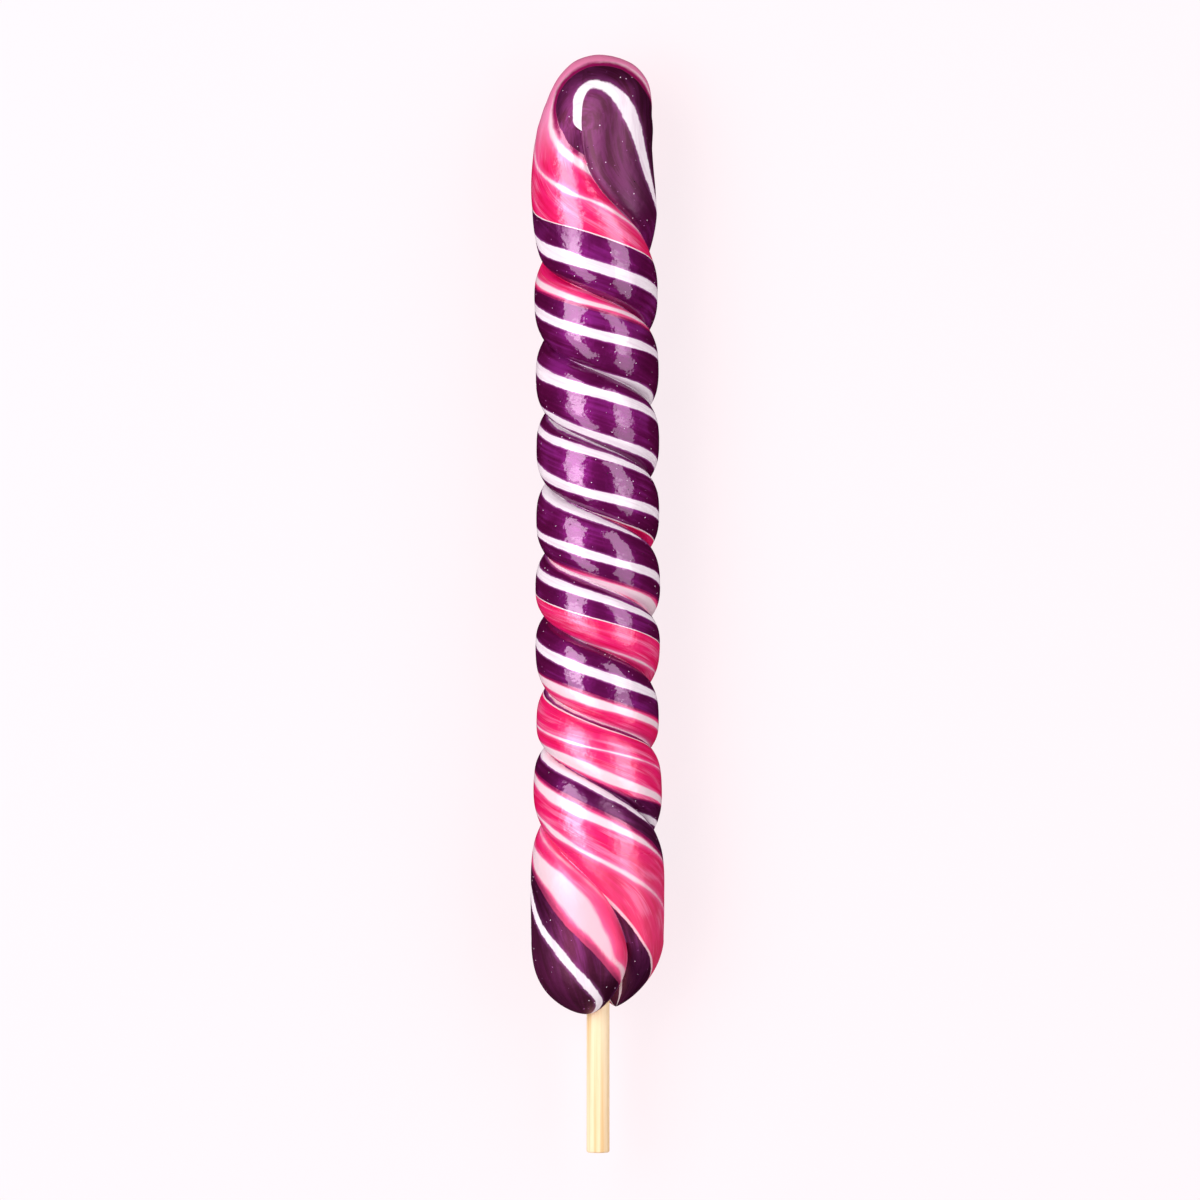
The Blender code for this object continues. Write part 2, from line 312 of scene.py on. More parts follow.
@dataclass(frozen=True)
class RopeForm:
    """Sizes of the folded, twisted rope, as the solid under it has them.

    The stations of turn, reach, wander and swing are places down from the tip of the fold, and
    those of fold_reach are degrees over the fold.
    """

    part_length: float = 192.1
    lobe_reach: float = 10.76
    lobe_half_breadth: float = 9.28
    lobe_rise: float = 2.45
    curl_breadth: float = 1.93
    groove_depth: float = 1.24
    crease_end_depth: float = 0.25
    crease_top: float = 13.7
    crease_deep: float = 20.0
    legs_part: float = 155.0
    flat_depth: float = 0.25
    turn: Stations = (
        (13.7, 195.0), (19.9, 186.0), (23.4, 174.0), (26.7, 156.6), (30.5, 128.0), (35.4, 90.0),
        (42.3, 0.0), (55.7, -180.0), (68.3, -360.0), (80.6, -540.0), (92.7, -720.0),
        (103.9, -900.0), (116.5, -1080.0), (121.3, -1170.0), (127.5, -1260.0), (145.5, -1440.0),
        (148.3, -1454.0), (152.7, -1469.0), (156.7, -1477.0), (160.4, -1481.0), (168.0, -1485.0))
    reach: Stations = (
        (13.7, 10.2), (16.7, 10.4), (23.7, 10.9), (28.1, 10.97), (43.0, 10.8), (80.6, 10.75),
        (98.0, 10.95), (115.6, 10.7), (127.0, 11.2), (146.2, 11.7), (168.0, 11.7))
    wander: Stations = (
        (13.7, -0.5), (16.7, -0.8), (20.0, -0.84), (24.4, -0.7), (28.0, -0.45), (43.0, -0.25),
        (68.3, 0.05), (168.0, 0.0))
    swing: Stations = (
        (13.7, 0.0), (35.0, 9.0), (50.0, 12.0), (75.0, 8.0), (87.0, 8.0), (98.0, 0.0),
        (110.0, 7.0), (121.0, 0.0), (135.0, -5.0), (150.0, 0.0), (168.0, 0.0))
    fold_reach: Stations = (
        (0.0, 10.2), (17.0, 9.8), (32.0, 10.0), (44.0, 10.6), (63.0, 12.1), (79.0, 13.3),
        (97.0, 13.8), (117.0, 13.85), (133.0, 13.2), (151.0, 11.45), (165.0, 10.4), (180.0, 10.2))

    ends: tuple[LooseEnd, ...] = (
        LooseEnd(leg=1, end=167.8, tip_offset=3.0, fullness=2.4, taper=0.55),
        LooseEnd(leg=0, end=166.7, tip_offset=4.5, fullness=1.6, taper=0.75))

    def groove_depth_at(self, down: float) -> float:
        """Depth of the groove, which fades out towards the top of the crease."""
        share = min(max((down - self.crease_top) / (self.crease_deep - self.crease_top), 0.0), 1.0)
        return self.crease_end_depth + (self.groove_depth - self.crease_end_depth) * share

    @staticmethod
    def ray_to_ellipse(angle: np.ndarray, centre: tuple[float, float],
                       axes: tuple[float, float]) -> np.ndarray:
        """Distance from the origin along rays to the far side of an ellipse.

        Args:
            angle: Ray angles from the outward direction, in radians.
            centre: The ellipse's middle, outward and across.
            axes: Its half axes, outward and across.

        Returns:
            The distance along each ray.
        """
        out, across = np.cos(angle), np.sin(angle)
        a = (out / axes[0]) ** 2 + (across / axes[1]) ** 2
        b = -2 * (out * centre[0] / axes[0] ** 2 + across * centre[1] / axes[1] ** 2)
        c = (centre[0] / axes[0]) ** 2 + (centre[1] / axes[1]) ** 2 - 1
        return (-b + np.sqrt(np.maximum(b * b - 4 * a * c, 0.0))) / (2 * a)

    def lobe(self, angle: np.ndarray, groove_depth: float) -> np.ndarray:
        """Outline of the outside of a leg.

        Args:
            angle: Angles from the crown, in radians.
            groove_depth: How far the flanks curl in.

        Returns:
            One row of (outward, across) for each angle.
        """
        side = np.abs(angle)
        radius = self.ray_to_ellipse(
            side, (self.lobe_rise, 0.0), (self.lobe_reach - self.lobe_rise, self.lobe_half_breadth))
        left_over = 1 - groove_depth / self.curl_breadth
        curl_height = self.lobe_rise / math.sqrt(1 - left_over ** 2)
        curl = self.ray_to_ellipse(side, (self.lobe_rise, self.lobe_half_breadth - self.curl_breadth),
                                   (curl_height, self.curl_breadth))
        radius = np.where(radius * np.cos(side) < self.lobe_rise, curl, radius)
        return np.stack([radius * np.cos(angle), radius * np.sin(angle)], axis=1)


class Mark(Enum):
    """What a line along the rope is."""

    WHITE = "milky stripe"
    COOL_EDGE = "where plum turns to pink"
    PALE = "pale streak in the pink"
    WARM_EDGE = "where pink turns to plum"


@dataclass(frozen=True)
class Line:
    """A line that runs along the rope.

    The run gives, at places along the rope, the line's angle from the crown and, for a stripe or
    a streak, half its width.
    """

    mark: Mark
    run: tuple[tuple[float, ...], ...]

    def angle(self, place: float) -> float:
        """Angle of the line's middle at a place."""
        return smooth_value(tuple((entry[0], entry[1]) for entry in self.run), place)

    def half_width(self, place: float) -> float:
        """Half the line's width at a place, in degrees."""
        return smooth_value(tuple((entry[0], entry[2]) for entry in self.run), place)


# Every line that the rope carries, in order round it. An entry is a place along the rope where
# the line bends or changes width, its angle there and, unless it is an edge, half its width.
ROPE_LINES: tuple[Line, ...] = (
    Line(Mark.WHITE, (
        (-168, 62, 6), (-165.5, 55, 7), (-163.8, 45, 7), (-159.7, 28, 5.5), (-155.5, 14, 6),
        (-151.3, 2, 6), (-149, 0, 6), (-146, 2, 6), (-140, -25, 9), (-130, -120, 10),
        (-100, -260, 10))),
    Line(Mark.COOL_EDGE, (
        (-168, 100), (-162.6, 83), (-161.3, 70), (-159.7, 60.5), (-155.5, 45.5), (-151.3, 32),
        (-147, 28), (-143, 27), (-138, 5), (-131.3, -54), (-130.5, -69), (-129.7, -83), (-128, -89),
        (-120, -120), (-95, -200))),
    Line(Mark.PALE, (
        (-168, 112, 8), (-161, 84, 8), (-159.7, 78, 8), (-157.6, 65, 7), (-155.5, 61, 9),
        (-151.3, 56, 15), (-147, 55, 18), (-143, 53, 19), (-140, 52, 11), (-137, 45, 5),
        (-131.5, -36, 8), (-130, -44, 12), (-128, -60, 17), (-126, -66, 17), (-123, -62, 17),
        (-120, -66, 12), (-117, -75, 8), (-110, -100, 8), (-95, -170, 8))),
    Line(Mark.PALE, (
        (-160, 112, 3), (-150, 88, 2.5), (-140, 84, 3), (-135, 78, 3), (-130, 50, 4),
        (-124.5, 19, 4), (-122.1, 4, 5), (-120.5, -6, 6), (-117.5, -4, 5), (-114, -25, 4),
        (-108.5, -62, 5), (-107.5, -72, 5), (-105.2, -80, 5), (-102.7, -87, 4), (-95, -110, 4),
        (-70, -180, 4))),
    Line(Mark.WARM_EDGE, (
        (-145, 175), (-130, 110), (-120, 72), (-118.5, 73), (-116.4, 79), (-114.3, 81), (-112.2, 78),
        (-108, 50), (-102.7, 3), (-101, -1), (-98.9, -7), (-96.8, -12), (-95.2, -14), (-92, -25),
        (-86, -62), (-84, -76), (-82.3, -83), (-79.8, -89), (-70, -125), (-45, -180))),
    Line(Mark.WHITE, (
        (-120, 150, 10), (-105, 80, 10), (-97.7, 56, 10), (-94.7, 53.5, 13), (-92.7, 52, 13),
        (-90.6, 50, 12.5), (-88, 46, 12), (-84, 10, 12), (-80.7, -20, 14), (-79.4, -27, 18),
        (-77.7, -37, 17), (-75.7, -45, 13.5), (-73.6, -43.5, 13.5), (-71.9, -37, 12), (-68, -42, 11),
        (-63, -70, 10), (-60.7, -80, 9.5), (-59, -81, 9.5), (-57.3, -85, 9), (-55.7, -93, 9),
        (-40, -130, 9), (0, -210, 9))),
    Line(Mark.WHITE, (
        (-90, 115, 10), (-77, 82, 10), (-72, 66, 9), (-70, 63, 11.5), (-68, 60, 12.5),
        (-66.5, 56.5, 10), (-65, 52, 10), (-60, 38, 10), (-54, 24, 10), (-52.5, 18, 12),
        (-51, 7, 16), (-50, 3, 17), (-48.6, -4, 14), (-46.5, -6.5, 12), (-44, -8, 12),
        (-40, -14, 11), (-30, -28, 8), (-25, -31, 6), (-23.2, -29, 6), (-21.2, -26.4, 7),
        (-19, -25, 8), (-17, -25, 8.4), (-14.9, -26.5, 9), (-10.8, -36, 9.5), (-8, -44.4, 7.1),
        (-6.4, -48, 5.7), (-4.5, -49.7, 4.8), (-2.1, -51, 4.2), (-1.3, -53, 5.2), (-0.4, -58, 8),
        (0.2, -68, 16), (0.9, -73, 19), (2.5, -77, 15), (3.6, -81, 11.5), (7.5, -86, 8.5),
        (9.5, -91, 3), (12, -96, 1), (25, -200, 5))),
    Line(Mark.COOL_EDGE, (
        (-90, 175), (-60, 90), (-50, 66), (-46.5, 55.5), (-44.8, 49), (-43.2, 44), (-42, 40),
        (-41, 33), (-35, 29), (-20, 24), (-12, 18), (-10, 8), (-9.1, 0), (-8.2, -10), (-7, -18),
        (-5.7, -23), (-2.4, -30), (-0.3, -35), (2.1, -40), (6.2, -46), (8.3, -52), (10.4, -59),
        (12.5, -64), (14.6, -70.5), (16.7, -80), (18, -90), (25, -150))),
    Line(Mark.PALE, (
        (-60, 110, 10), (-45, 72, 9), (-43.6, 64, 9), (-40.7, 58, 10), (-38, 52, 9), (-30, 45, 6),
        (-15, 34, 5), (-10, 22, 5), (-8, -2, 5), (-6, -13, 5), (-4.5, -18, 5), (-2, -26, 5),
        (0, -33, 4.5), (4.2, -37, 4.5), (8.3, -43, 4.5), (10.4, -48, 5.5), (12.5, -52, 6.5),
        (14.6, -58, 6.5), (16.7, -66, 7.5), (18.7, -78, 8.5), (20.5, -88, 8), (25, -120, 8),
        (45, -200, 8))),
    Line(Mark.PALE, (
        (-42, 110, 5), (-20, 60, 4), (0, 2, 3), (8, -8, 3), (14, -16, 4), (16.5, -22, 4),
        (18.3, -27, 4), (20, -33, 4.5), (21.7, -42, 5), (23.3, -51, 5.5), (25, -60, 6),
        (26.2, -70, 6), (27.5, -76, 5), (29.2, -78, 5), (33, -88, 4), (40, -120, 4))),
    Line(Mark.WARM_EDGE, (
        (-5, 140), (10, 70), (20, 38), (27.7, 12), (29.2, 1), (30, -8), (31.2, -21), (32.9, -33),
        (34.2, -42), (35.4, -50), (37, -60), (45, -110))),
    Line(Mark.WHITE, (
        (20, 95, 10), (30, 58, 10), (33.3, 40, 11), (34.6, 35, 18), (35.8, 30, 17), (37.5, 23.5, 15),
        (39.6, 18, 16), (41.7, 15.5, 16), (45, 5, 14), (50, -20, 13), (53, -32, 13), (54.5, -33, 14),
        (56.6, -32, 16), (58.7, -35, 16), (60.7, -41, 15), (62.4, -43.6, 13), (64, -46, 12),
        (68, -60, 11), (73, -77, 10), (75.3, -80, 10), (77.4, -79.5, 10.5), (79.5, -78.6, 9.5),
        (81.6, -76.7, 7.5), (83.7, -74, 4.5), (86, -73, 1), (90, -80, 0.5), (110, -160, 8))),
    Line(Mark.WHITE, (
        (45, 120, 11), (55, 90, 10), (60, 70, 8), (62.8, 64, 8), (64.5, 69, 10), (66.2, 71, 10.5),
        (67.8, 69.5, 11.5), (69.5, 65, 13), (71.2, 60.5, 11), (73, 55, 11), (78, 42, 11),
        (83.7, 25, 11), (86, 19, 12), (88.2, 19, 12.5), (89.4, 14, 14), (90.7, 7, 15), (91.9, 5, 11),
        (94, 1, 10), (99, -18, 10), (101.5, -28, 9), (102.7, -28, 9), (104.8, -26.5, 12.5),
        (106.9, -26.5, 12.5), (109, -28, 12.5), (110.7, -32, 14), (111.9, -38, 14), (113, -45, 11),
        (118, -66, 10), (123, -80, 9), (126, -80, 8), (130, -78, 6.5), (133, -75, 4.5),
        (134.8, -73, 1), (140, -90, 0.5), (155, -130, 6))),
    Line(Mark.COOL_EDGE, (
        (70, 160), (80, 110), (86, 80), (88.2, 74), (89.4, 70), (91, 67), (92.3, 64), (94, 56),
        (95.5, 50), (100, 46), (105, 44), (107.5, 38), (108.6, 31), (109.8, 24.5), (111, 23),
        (113.2, 22), (114.8, 17), (116, 8), (118, -5), (122, -25), (126, -38), (130, -39),
        (134, -40), (137, -37), (139, -33), (142, -34), (150, -80), (168, -150))),
    Line(Mark.PALE, (
        (80, 125, 10), (90, 92, 10), (93, 82, 12), (95.5, 76, 14), (98, 74, 15), (104, 65, 15),
        (108, 50, 12), (110, 46, 15), (113, 44.5, 15), (116, 37, 14), (118, 28, 13), (122, 5, 12),
        (126, -19, 12), (129, -17, 13), (132, -15, 14), (134.5, -18, 11), (137, -22, 8.5),
        (139.5, -24, 6), (143, -32, 4), (150, -70, 5), (168, -140, 5))),
    Line(Mark.PALE, (
        (100, 140, 6), (112, 100, 5), (125, 80, 6), (132, 52, 6), (134.3, 51, 6.5), (136.4, 55, 7.5),
        (138.5, 55, 7), (140.6, 51, 6.8), (142.7, 47, 6), (144.7, 42.5, 5.5), (146.8, 36.5, 4.3),
        (148.5, 29.5, 3.7), (150, 23, 3.5), (155, 0, 3), (168, -60, 3))),
    Line(Mark.WARM_EDGE, (
        (100, 260), (125, 160), (140, 108), (148, 90), (151, 85), (153.1, 81), (155.2, 76.5),
        (157.2, 69), (159.3, 60.5), (160.6, 54.5), (162, 47), (165, 38), (168, 30))),
    Line(Mark.WHITE, (
        (130, 230, 9), (150, 150, 9), (160, 122, 8), (166, 104, 8), (168, 100, 8))),
)


# Degrees, more than between any two lines: the start of each search for the nearest one
FAR = 400.0
# Millimetres round the rope for each degree
ACROSS_PER_DEGREE = 0.15
# Offset that keeps the streaks of the two legs apart
LEG_GAP = 20.0
# Millimetres of strand for each millimetre down, at places along the rope
STRAND_STRETCH = ((0.0, 1.4), (13.7, 1.3), (30.0, 1.6), (42.0, 2.8), (128.0, 2.8), (145.0, 1.9),
                  (156.0, 1.2), (168.0, 1.0))


class Point(NamedTuple):
    """A point of the rope before it is folded and twisted, in millimetres and radians."""

    outward: float
    across: float
    turn: float
    over: float
    swing: float
    axis_x: float
    axis_y: float
    axis_z: float


class Rope:
    """The candy: a rope folded over, twisted together and rounded off round the stick."""

    LEG_STEPS = 60
    ROPE_STEPS = 520
    FOLD_STEPS = 84
    CHORD_STEPS = 20
    END_STEPS = 44
    # Share of even spacing in the angles across a leg; the rest crowds them at its flanks
    EVEN_SHARE = 0.6
    # An end becomes an oval, whose breadth is this share of the leg's
    OVAL_BREADTH = 0.9
    # How late along an end the oval and the shift of its middle set in
    OVAL_POWER = 2
    SHIFT_POWER = 3

    def __init__(self, form: RopeForm, lines: tuple[Line, ...]) -> None:
        """Lay out the angles across a leg and start with no points.

        Args:
            form: The rope's sizes.
            lines: The lines that it carries.
        """
        self.form = form
        self.lines = lines
        share = np.linspace(-1.0, 1.0, self.LEG_STEPS + 1)
        crowded = (1 - self.EVEN_SHARE) * np.sin(np.pi / 2 * share)
        self.angles = np.pi / 2 * (self.EVEN_SHARE * share + crowded)
        self.points: list[Point] = []
        self.faces: list[tuple[int, ...]] = []
        self.corners: list[tuple[float, float]] = []

    def _point(self, down: float, outward: float, across: float, turn: float,
               over: float = 0.0) -> int:
        """Add a point.

        Args:
            down: Place down the part from the tip of the fold.
            outward: Distance from the rope's axis towards the leg's crown.
            across: Distance across the leg.
            turn: Direction that the crown faces, in radians.
            over: Angle over the fold, in radians.

        Returns:
            The point's number.
        """
        form = self.form
        self.points.append(Point(
            outward, across, turn, over, math.radians(smooth_value(form.swing, down)),
            smooth_value(form.wander, down), form.part_length / 2 - down,
            smooth_value(form.reach, down) - form.flat_depth))
        return len(self.points) - 1

    def _face(self, corners: Sequence[tuple[int, float, float]]) -> None:
        """Add a face.

        Args:
            corners: Point, place along the rope and angle of each corner; a repeated point is
                dropped, and so is a face with fewer than three left.
        """
        seen: dict[int, tuple[float, float]] = {}
        for point, along, angle in corners:
            seen.setdefault(point, (along, angle))
        if len(seen) > 2:
            self.faces.append(tuple(seen))
            self.corners.extend(seen.values())

    def _turn(self, down: float, leg: int) -> float:
        """Direction that a leg's crown faces, in radians."""
        return math.radians(smooth_value(self.form.turn, down) + 180 * leg)

    def _rings(self) -> tuple[list[float], list[list[int]]]:
        """Add rings of points round both legs, from the crease down to where the legs part.

        Returns:
            The rings' places and their points.
        """
        form = self.form
        downs = [form.crease_top + (form.legs_part - form.crease_top) * i / self.ROPE_STEPS
                 for i in range(self.ROPE_STEPS + 1)]
        rings = []
        for down in downs:
            scale = smooth_value(form.reach, down) / form.lobe_reach
            outline = form.lobe(self.angles, form.groove_depth_at(down))[:-1] * scale
            rings.append([self._point(down, out, across, self._turn(down, leg))
                          for leg in (0, 1) for out, across in outline])
        return downs, rings

    def _row(self, ring: list[int], leg: int) -> list[int]:
        """Part of a ring that is one leg's.

        Args:
            ring: Points round both legs.
            leg: 0 or 1.

        Returns:
            The leg's points from -90 to 90 degrees, counted the first leg's way.
        """
        steps = self.LEG_STEPS
        if leg == 0:
            return ring[:steps + 1]
        return [ring[0]] + ring[:steps - 1:-1]

    def _fold_rows(self, ring: list[int]) -> tuple[list[float], list[list[int]]]:
        """Add rows of points over the fold, from the first leg to the second.

        Args:
            ring: The first ring under the fold, whose two seam points end every row.

        Returns:
            The rows' places along the rope and their points.
        """
        form = self.form
        breadth = smooth_value(form.reach, form.crease_top) / form.lobe_reach
        outline = form.lobe(self.angles, form.crease_end_depth)[1:-1]
        turn = self._turn(form.crease_top, 0)
        places, rows = [], []
        for k in range(1, self.FOLD_STEPS):
            over = math.pi * k / self.FOLD_STEPS
            length = smooth_value(form.fold_reach, math.degrees(over)) / form.lobe_reach
            inner = [self._point(form.crease_top, out * length, across * breadth, turn, over)
                     for out, across in outline]
            rows.append([ring[0]] + inner + [ring[self.LEG_STEPS]])
            places.append(form.crease_top * (1 - 2 * over / math.pi))
        return places, rows

    def _skin_rows(self, places: list[float], rows: list[list[int]]) -> None:
        """Add the faces between rows that run across the rope.

        Args:
            places: Place of each row along the rope.
            rows: Points of each row.
        """
        degrees = np.degrees(self.angles)
        for i in range(len(rows) - 1):
            for j in range(self.LEG_STEPS):
                self._face([(rows[i][j], places[i], degrees[j]),
                            (rows[i][j + 1], places[i], degrees[j + 1]),
                            (rows[i + 1][j + 1], places[i + 1], degrees[j + 1]),
                            (rows[i + 1][j], places[i + 1], degrees[j])])

    def _end_loop(self, ring: list[int], chord: list[int],
                  end: LooseEnd) -> tuple[list[int], list[float]]:
        """The closed loop where a loose end starts.

        Args:
            ring: The last ring round both legs.
            chord: Points straight across that ring, between the legs.
            end: The end.

        Returns:
            The loop's points and their angles, in degrees.
        """
        steps = self.LEG_STEPS
        loop = ring[steps * end.leg:steps * (end.leg + 1)] + [ring[steps * (1 - end.leg)]]
        loop += chord[::-1] if end.leg == 0 else chord
        past_flank = [180 * k / self.CHORD_STEPS for k in range(1, self.CHORD_STEPS)]
        degrees = [*np.degrees(self.angles), *(90 + h if h <= 90 else h - 270 for h in past_flank)]
        return loop, [end.side * angle for angle in degrees]

    def _end_section(self) -> list[tuple[float, float]]:
        """Section of a leg where its end starts.

        Returns:
            Points (outward, across) along the leg's outline and back along the chord.
        """
        outline = self.form.lobe(self.angles, self.form.groove_depth)
        foot = outline[-1][1]
        chord = [(0.0, foot * (1 - 2 * k / self.CHORD_STEPS)) for k in range(1, self.CHORD_STEPS)]
        return [tuple(p) for p in outline] + chord

    def _end_row(self, end: LooseEnd, section: list[tuple[float, float]], share: float,
                 down: float) -> list[int]:
        """Add one loop of points of a rounded end.

        Args:
            end: The end.
            section: The leg's section where the end starts.
            share: How far along the end the loop lies, from 0 to 1.
            down: The same place, down from the tip of the fold.

        Returns:
            The loop's points.
        """
        form = self.form
        scale = smooth_value(form.reach, form.legs_part) / form.lobe_reach
        middle = form.lobe_reach / 2
        axes = (middle, form.lobe_half_breadth * self.OVAL_BREADTH)
        shrink = (1 - share ** end.fullness) ** end.taper * scale
        offset = middle * scale + (end.tip_offset - middle * scale) * share ** self.SHIFT_POWER
        row = []
        for outward, across in section:
            angle = math.atan2(across, outward - middle)
            plain = math.hypot(across, outward - middle)
            oval = float(form.ray_to_ellipse(np.array(angle), (0.0, 0.0), axes))
            radius = (plain + (oval - plain) * share ** self.OVAL_POWER) * shrink
            row.append(self._point(down, offset + radius * math.cos(angle),
                                   radius * math.sin(angle), self._turn(down, end.leg)))
        return row

    def _skin_end(self, ring: list[int], chord: list[int], end: LooseEnd) -> None:
        """Round off the loose end of one leg.

        Args:
            ring: The last ring round both legs.
            chord: Points straight across that ring, between the legs.
            end: The end.
        """
        loop, degrees = self._end_loop(ring, chord, end)
        section = self._end_section()
        start = self.form.legs_part
        previous = start
        for step in range(1, self.END_STEPS):
            share = math.sin(math.pi / 2 * step / self.END_STEPS)
            down = start + (end.end - start) * share
            row = self._end_row(end, section, share, down)
            self._skin_loops(loop, row, degrees, end.side * previous, end.side * down)
            loop, previous = row, down
        tip = self._point(end.end, end.tip_offset, 0.0, self._turn(end.end, end.leg))
        self._skin_loops(loop, [tip] * len(loop), degrees, end.side * previous, end.side * end.end)

    def _skin_loops(self, first: list[int], second: list[int], degrees: list[float],
                    near: float, far: float) -> None:
        """Add the faces between two closed loops of an end.

        Args:
            first: Points of one loop.
            second: Points of the next, as many.
            degrees: Angle of each point.
            near: Place of the first loop along the rope.
            far: Place of the second loop.
        """
        for i in range(len(first)):
            k = (i + 1) % len(first)
            ahead = degrees[k]
            if abs(ahead - degrees[i]) > 180:
                ahead += math.copysign(360, degrees[i] - ahead)
            self._face([(first[i], near, degrees[i]), (first[k], near, ahead),
                        (second[k], far, ahead), (second[i], far, degrees[i])])

    def lay_out(self) -> None:
        """Make all points and faces of the rope."""
        downs, rings = self._rings()
        places, fold = self._fold_rows(rings[0])
        first_leg = [self._row(ring, 0) for ring in rings]
        second_leg = [self._row(ring, 1) for ring in rings]
        self._skin_rows(downs[::-1] + places + [-d for d in downs],
                        first_leg[::-1] + fold + second_leg)
        last = rings[-1]
        foot = abs(self.points[last[0]].across)
        turn = self.points[last[self.LEG_STEPS]].turn - math.pi
        chord = []
        for k in range(1, self.CHORD_STEPS):
            across = foot * (2 * k / self.CHORD_STEPS - 1)
            chord.append(self._point(self.form.legs_part, 0.0, across, turn))
        for end in self.form.ends:
            self._skin_end(last, chord, end)

    def _nearest(self, mark: Mark, places: np.ndarray, inverse: np.ndarray,
                 angle: np.ndarray) -> np.ndarray:
        """How far corners lie from the lines of a kind.

        Args:
            mark: The kind of line.
            places: The different places along the rope.
            inverse: Index into places for each corner.
            angle: Angle of each corner, in degrees.

        Returns:
            Degrees outside the nearest line, negative on the line.
        """
        gap = np.full(len(angle), FAR)
        for line in self.lines:
            if line.mark is mark:
                middle = np.array([line.angle(p) for p in places])[inverse]
                half = np.array([line.half_width(p) for p in places])[inverse]
                gap = np.minimum(gap, np.abs(angle - middle) - half)
        return gap

    def _pink_reach(self, places: np.ndarray, inverse: np.ndarray,
                    angle: np.ndarray) -> tuple[np.ndarray, np.ndarray]:
        """How far corners lie inside the pink.

        Args:
            places: The different places along the rope.
            inverse: Index into places for each corner.
            angle: Angle of each corner, in degrees.

        Returns:
            Degrees from the pink's cool edge, and degrees to its warm edge.
        """
        from_cool, to_warm = np.full(len(angle), -FAR), np.full(len(angle), -FAR)
        edges = [line for line in self.lines if line.mark in (Mark.COOL_EDGE, Mark.WARM_EDGE)]
        for cool, warm in zip(edges[::2], edges[1::2]):
            from_this = angle - np.array([cool.angle(p) for p in places])[inverse]
            to_this = np.array([warm.angle(p) for p in places])[inverse] - angle
            nearer = np.minimum(from_this, to_this) > np.minimum(from_cool, to_warm)
            from_cool = np.where(nearer, from_this, from_cool)
            to_warm = np.where(nearer, to_this, to_warm)
        return from_cool, to_warm

    def fields(self) -> dict[str, np.ndarray]:
        """What the colours follow, at every corner of every face.

        Returns:
            "stripe": degrees outside the nearest milky stripe, outside the nearest pale streak and
            inside the pink; "pull": degrees from the pink's cool edge and to its warm edge, and
            zero; and "strand": millimetres across and along the strand, and a number for the leg.
        """
        corners = np.array(self.corners)
        places, inverse = np.unique(np.round(corners[:, 0], 6), return_inverse=True)
        along, angle = corners[:, 0], corners[:, 1]
        white = self._nearest(Mark.WHITE, places, inverse, angle)
        pale = self._nearest(Mark.PALE, places, inverse, angle)
        from_cool, to_warm = self._pink_reach(places, inverse, angle)
        stretch = np.interp(np.abs(places), *zip(*STRAND_STRETCH))
        lengths = np.concatenate([[0.0], np.cumsum(np.diff(places) * stretch[1:])])
        strand = (angle * ACROSS_PER_DEGREE, lengths[inverse], np.sign(along) * LEG_GAP)
        return {"stripe": np.stack([white, pale, np.minimum(from_cool, to_warm)], axis=1),
                "pull": np.stack([from_cool, to_warm, np.zeros_like(angle)], axis=1),
                "strand": np.stack(strand, axis=1)}

    def grid(self) -> bpy.types.Object:
        """Lay the rope out flat.

        Returns:
            The flat rope, carrying what the sweep needs as attributes.
        """
        self.lay_out()
        mesh = bpy.data.meshes.new("flat_rope")
        mesh.from_pydata([(p.across * MM, p.axis_y * MM, p.outward * MM) for p in self.points],
                         [], self.faces)
        section = [(p.outward * MM, p.across * MM, p.over) for p in self.points]
        axis = [(p.axis_x * MM, p.axis_y * MM, p.axis_z * MM) for p in self.points]
        store(mesh, "section", "FLOAT_VECTOR", "POINT", section)
        store(mesh, "axis_place", "FLOAT_VECTOR", "POINT", axis)
        store(mesh, "turn", "FLOAT", "POINT", [p.turn for p in self.points])
        store(mesh, "swing", "FLOAT", "POINT", [p.swing for p in self.points])
        for name, values in self.fields().items():
            store(mesh, name, "FLOAT_VECTOR", "CORNER", values)
        rope = bpy.data.objects.new("flat_rope", mesh)
        bpy.context.scene.collection.objects.link(rope)
        return rope


def store(mesh: bpy.types.Mesh, name: str, kind: str, domain: str,
          values: Sequence[Any] | np.ndarray) -> None:
    """Write an attribute to a mesh.

    Args:
        mesh: The mesh.
        name: The attribute's name.
        kind: Its data type.
        domain: POINT or CORNER.
        values: One row for each element.
    """
    attribute = mesh.attributes.new(name, kind, domain)
    target = "vector" if kind == "FLOAT_VECTOR" else "value"
    attribute.data.foreach_set(target, np.asarray(values, dtype=np.float32).ravel())


# ---------------------------------------------------------------- geometry trees

